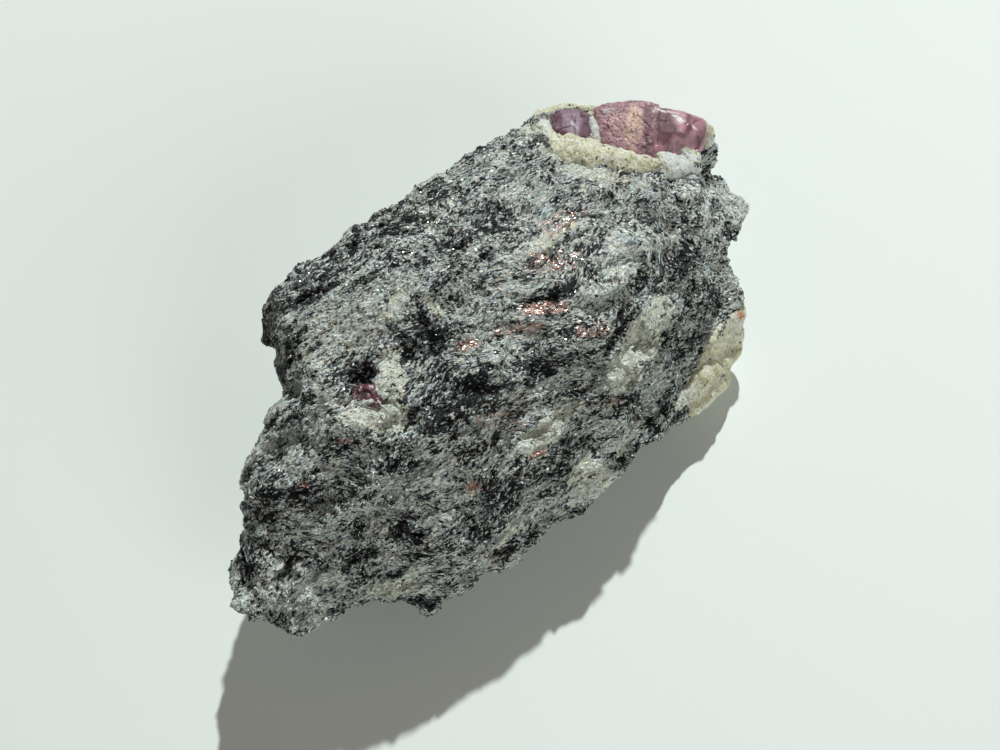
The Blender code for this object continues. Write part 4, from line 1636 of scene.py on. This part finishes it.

# %% Paint the rubies: tan grains, deep colour with painted shade, and painted highlights
TAN_PATCHES = {
    "middle of the large crystal": ((632, 130), 4.0, 1.2, 85, 1.3),
    "left of it": ((613, 124), 2.2, 1.0, 75, 0.45),
}
# deep colour of the crystals, and painted shade where a face turns from the lamp or lies underneath
DEEP_COLOUR_AND_SHADE_PATCHES = {
    # partly deep colour, partly painted shade of a face turned from the lamp
    "smooth face": ((664, 123), 1.9, 2.6, -5, 1.2),
    # painted shade under the smooth face
    "corner under it": ((660, 140), 1.3, 0.8, 0, 0.9),
    # painted shadow beside the tan grains
    "beside the tan grains": ((647, 126), 3.4, 0.7, 88, 1.0),
    # painted shade under the tan grains
    "under the tan grains": ((640, 148), 2.0, 0.5, -20, 0.8),
    # painted shade at the foot of the small crystal
    "foot of the small crystal": ((561, 135), 1.5, 0.8, -10, 1.2),
    "upper left of the hollow crystal": ((361, 396), 0.9, 0.6, 30, 1.0),
    # painted shade at the foot of the large crystal
    "foot of the large crystal": ((612, 146), 1.5, 0.5, -15, 0.7),
}
# painted highlights: pale streaks and spots where the crystals' faces would catch the lamp
PAINTED_HIGHLIGHT_PATCHES = {
    "streak on the right": ((683, 121), 1.8, 0.26, -40, 1.2),
    "beside it": ((676, 118), 1.3, 0.18, -45, 1.0),
    "second streak": ((692, 127), 1.0, 0.22, -30, 1.0),
    "upper edge": ((668, 112), 2.4, 0.20, -14, 0.8),
    "upper left": ((606, 112), 1.4, 0.8, 20, 0.5),
    "small crystal": ((572, 124), 1.6, 0.30, -50, 0.5),
}
RUBY_MARKS = {"tan": TAN_PATCHES, "deep": DEEP_COLOUR_AND_SHADE_PATCHES, "painted_highlight": PAINTED_HIGHLIGHT_PATCHES}
for piece in (ruby_large, ruby_small, ruby_in_hollow):
    keep_marks(piece, RUBY_MARKS, raggedness=0.7)

# %% [markdown]
# Ruby is harder and denser than glass, so its index of refraction is 1.76 and its smooth faces shine.
# These crystals are too full of cracks to look through. A deep colour and a pink one in a cloud, with
# a little light scattered under the surface, give that look. Frosted chips cover the crushed half.

# %% Material: rubies
TAN_COLOUR = (0.700, 0.500, 0.390)
PAINTED_HIGHLIGHT_COLOUR = (0.860, 0.800, 0.840)
FROSTED_COLOUR = (0.88, 0.68, 0.64)
RUBY_IOR = 1.76
RUBY_GLOW = (1.2 * MM, 0.4 * MM, 0.5 * MM)
# bright colour, deep colour and roughness of each crystal's material
RUBY_FINISHES = {
    "ruby_pink": ((0.54, 0.28, 0.33), (0.16, 0.070, 0.095), 0.32),
    "ruby_purple": ((0.19, 0.10, 0.15), (0.09, 0.022, 0.04), 0.56),
    "ruby_wine": ((0.12, 0.026, 0.048), (0.035, 0.007, 0.014), 0.42),
}


def ruby_material(name):
    bright, deep, rough = RUBY_FINISHES[name]
    material, tree, shader = new_material(name)
    place = place_in_mm(tree)
    cloud = add_node(tree, "ShaderNodeTexNoise", {"Vector": place, "Scale": 0.5, "Detail": 5.0}).outputs[0]
    chips = use_group(tree, GRAINS, {"Vector": place, "Grain Size": 0.34, "Pale Share": 0.3, "Tilt": 1.0})
    crushed = named_value(tree, "crushed")
    colour = blend(tree, between(tree, cloud, 0.30, 0.60), deep, bright)
    colour = blend(tree, weigh(tree, (named_value(tree, "deep"), 0.95)), colour, deep)
    frosted = weigh(tree, (crushed, calculate(tree, "MULTIPLY", chips["Pale"], 0.45)))
    colour = blend(tree, frosted, colour, FROSTED_COLOUR)
    gaps = weigh(tree, (crushed, between(tree, chips["Flash"], 0.34, 0.24, 0.0, 0.5)))
    colour = blend(tree, gaps, colour, deep)
    tan = weigh(tree, (named_value(tree, "tan"), between(tree, chips["Shade"], 0.15, 0.30)))
    colour = blend(tree, tan, colour, TAN_COLOUR)
    painted_highlight = weigh(tree, (named_value(tree, "painted_highlight"), between(tree, cloud, 0.40, 0.55)))
    colour = blend(tree, painted_highlight, colour, PAINTED_HIGHLIGHT_COLOUR)
    feed(tree, shader, {
        "Base Color": colour,
        "Roughness": weigh(
            tree, (1.0, rough), (crushed, 0.18), (chips["Flash"], 0.10), (named_value(tree, "deep"), 0.30),
        ),
        "IOR": RUBY_IOR,
        "Subsurface Weight": 0.20,
        "Subsurface Radius": RUBY_GLOW,
        "Subsurface Scale": 1.0,
    })
    add_bump(tree, shader, weigh(tree, (crushed, chips["Height"]), (cloud, 0.07)), strength=0.9)
    return material


dress(ruby_large, ruby_material("ruby_pink"), "ruby_large")
dress(ruby_small, ruby_material("ruby_purple"), "ruby_small")
dress(ruby_in_hollow, ruby_material("ruby_wine"), "ruby_in_hollow")

# %% [markdown]
# ## The floor card
# The card is a little darker and yellower to the left and paler towards the right front, and a faint,
# large variation keeps it from looking like paint.

# %% Material: floor card
CARD_CHANGE = 80 * MM
CARD_SUNNY_SIDE = (RIGHT - AWAY * 0.6).normalized()


def card_material():
    material, tree, shader = new_material("pale_card")
    place = add_node(tree, "ShaderNodeTexCoord").outputs["Object"]
    cloud = add_node(tree, "ShaderNodeTexNoise", {"Vector": place, "Scale": 9.0, "Detail": 2.0}).outputs[0]
    towards = on_vectors(tree, "DOT_PRODUCT", place, CARD_SUNNY_SIDE, output="Value")
    sunny = weigh(tree, (towards, 0.5 / CARD_CHANGE), (cloud, 0.2), (1.0, 0.4))
    feed(tree, shader, {
        "Base Color": ramp(tree, sunny, ((0.0, FLOOR_COLOUR), (1.0, FLOOR_SUNNY_COLOUR))),
        "Roughness": 0.9,
        "Specular IOR Level": 0.1,
    })
    return material


floor.data.materials.append(card_material())
print("materials:", len(bpy.data.materials))
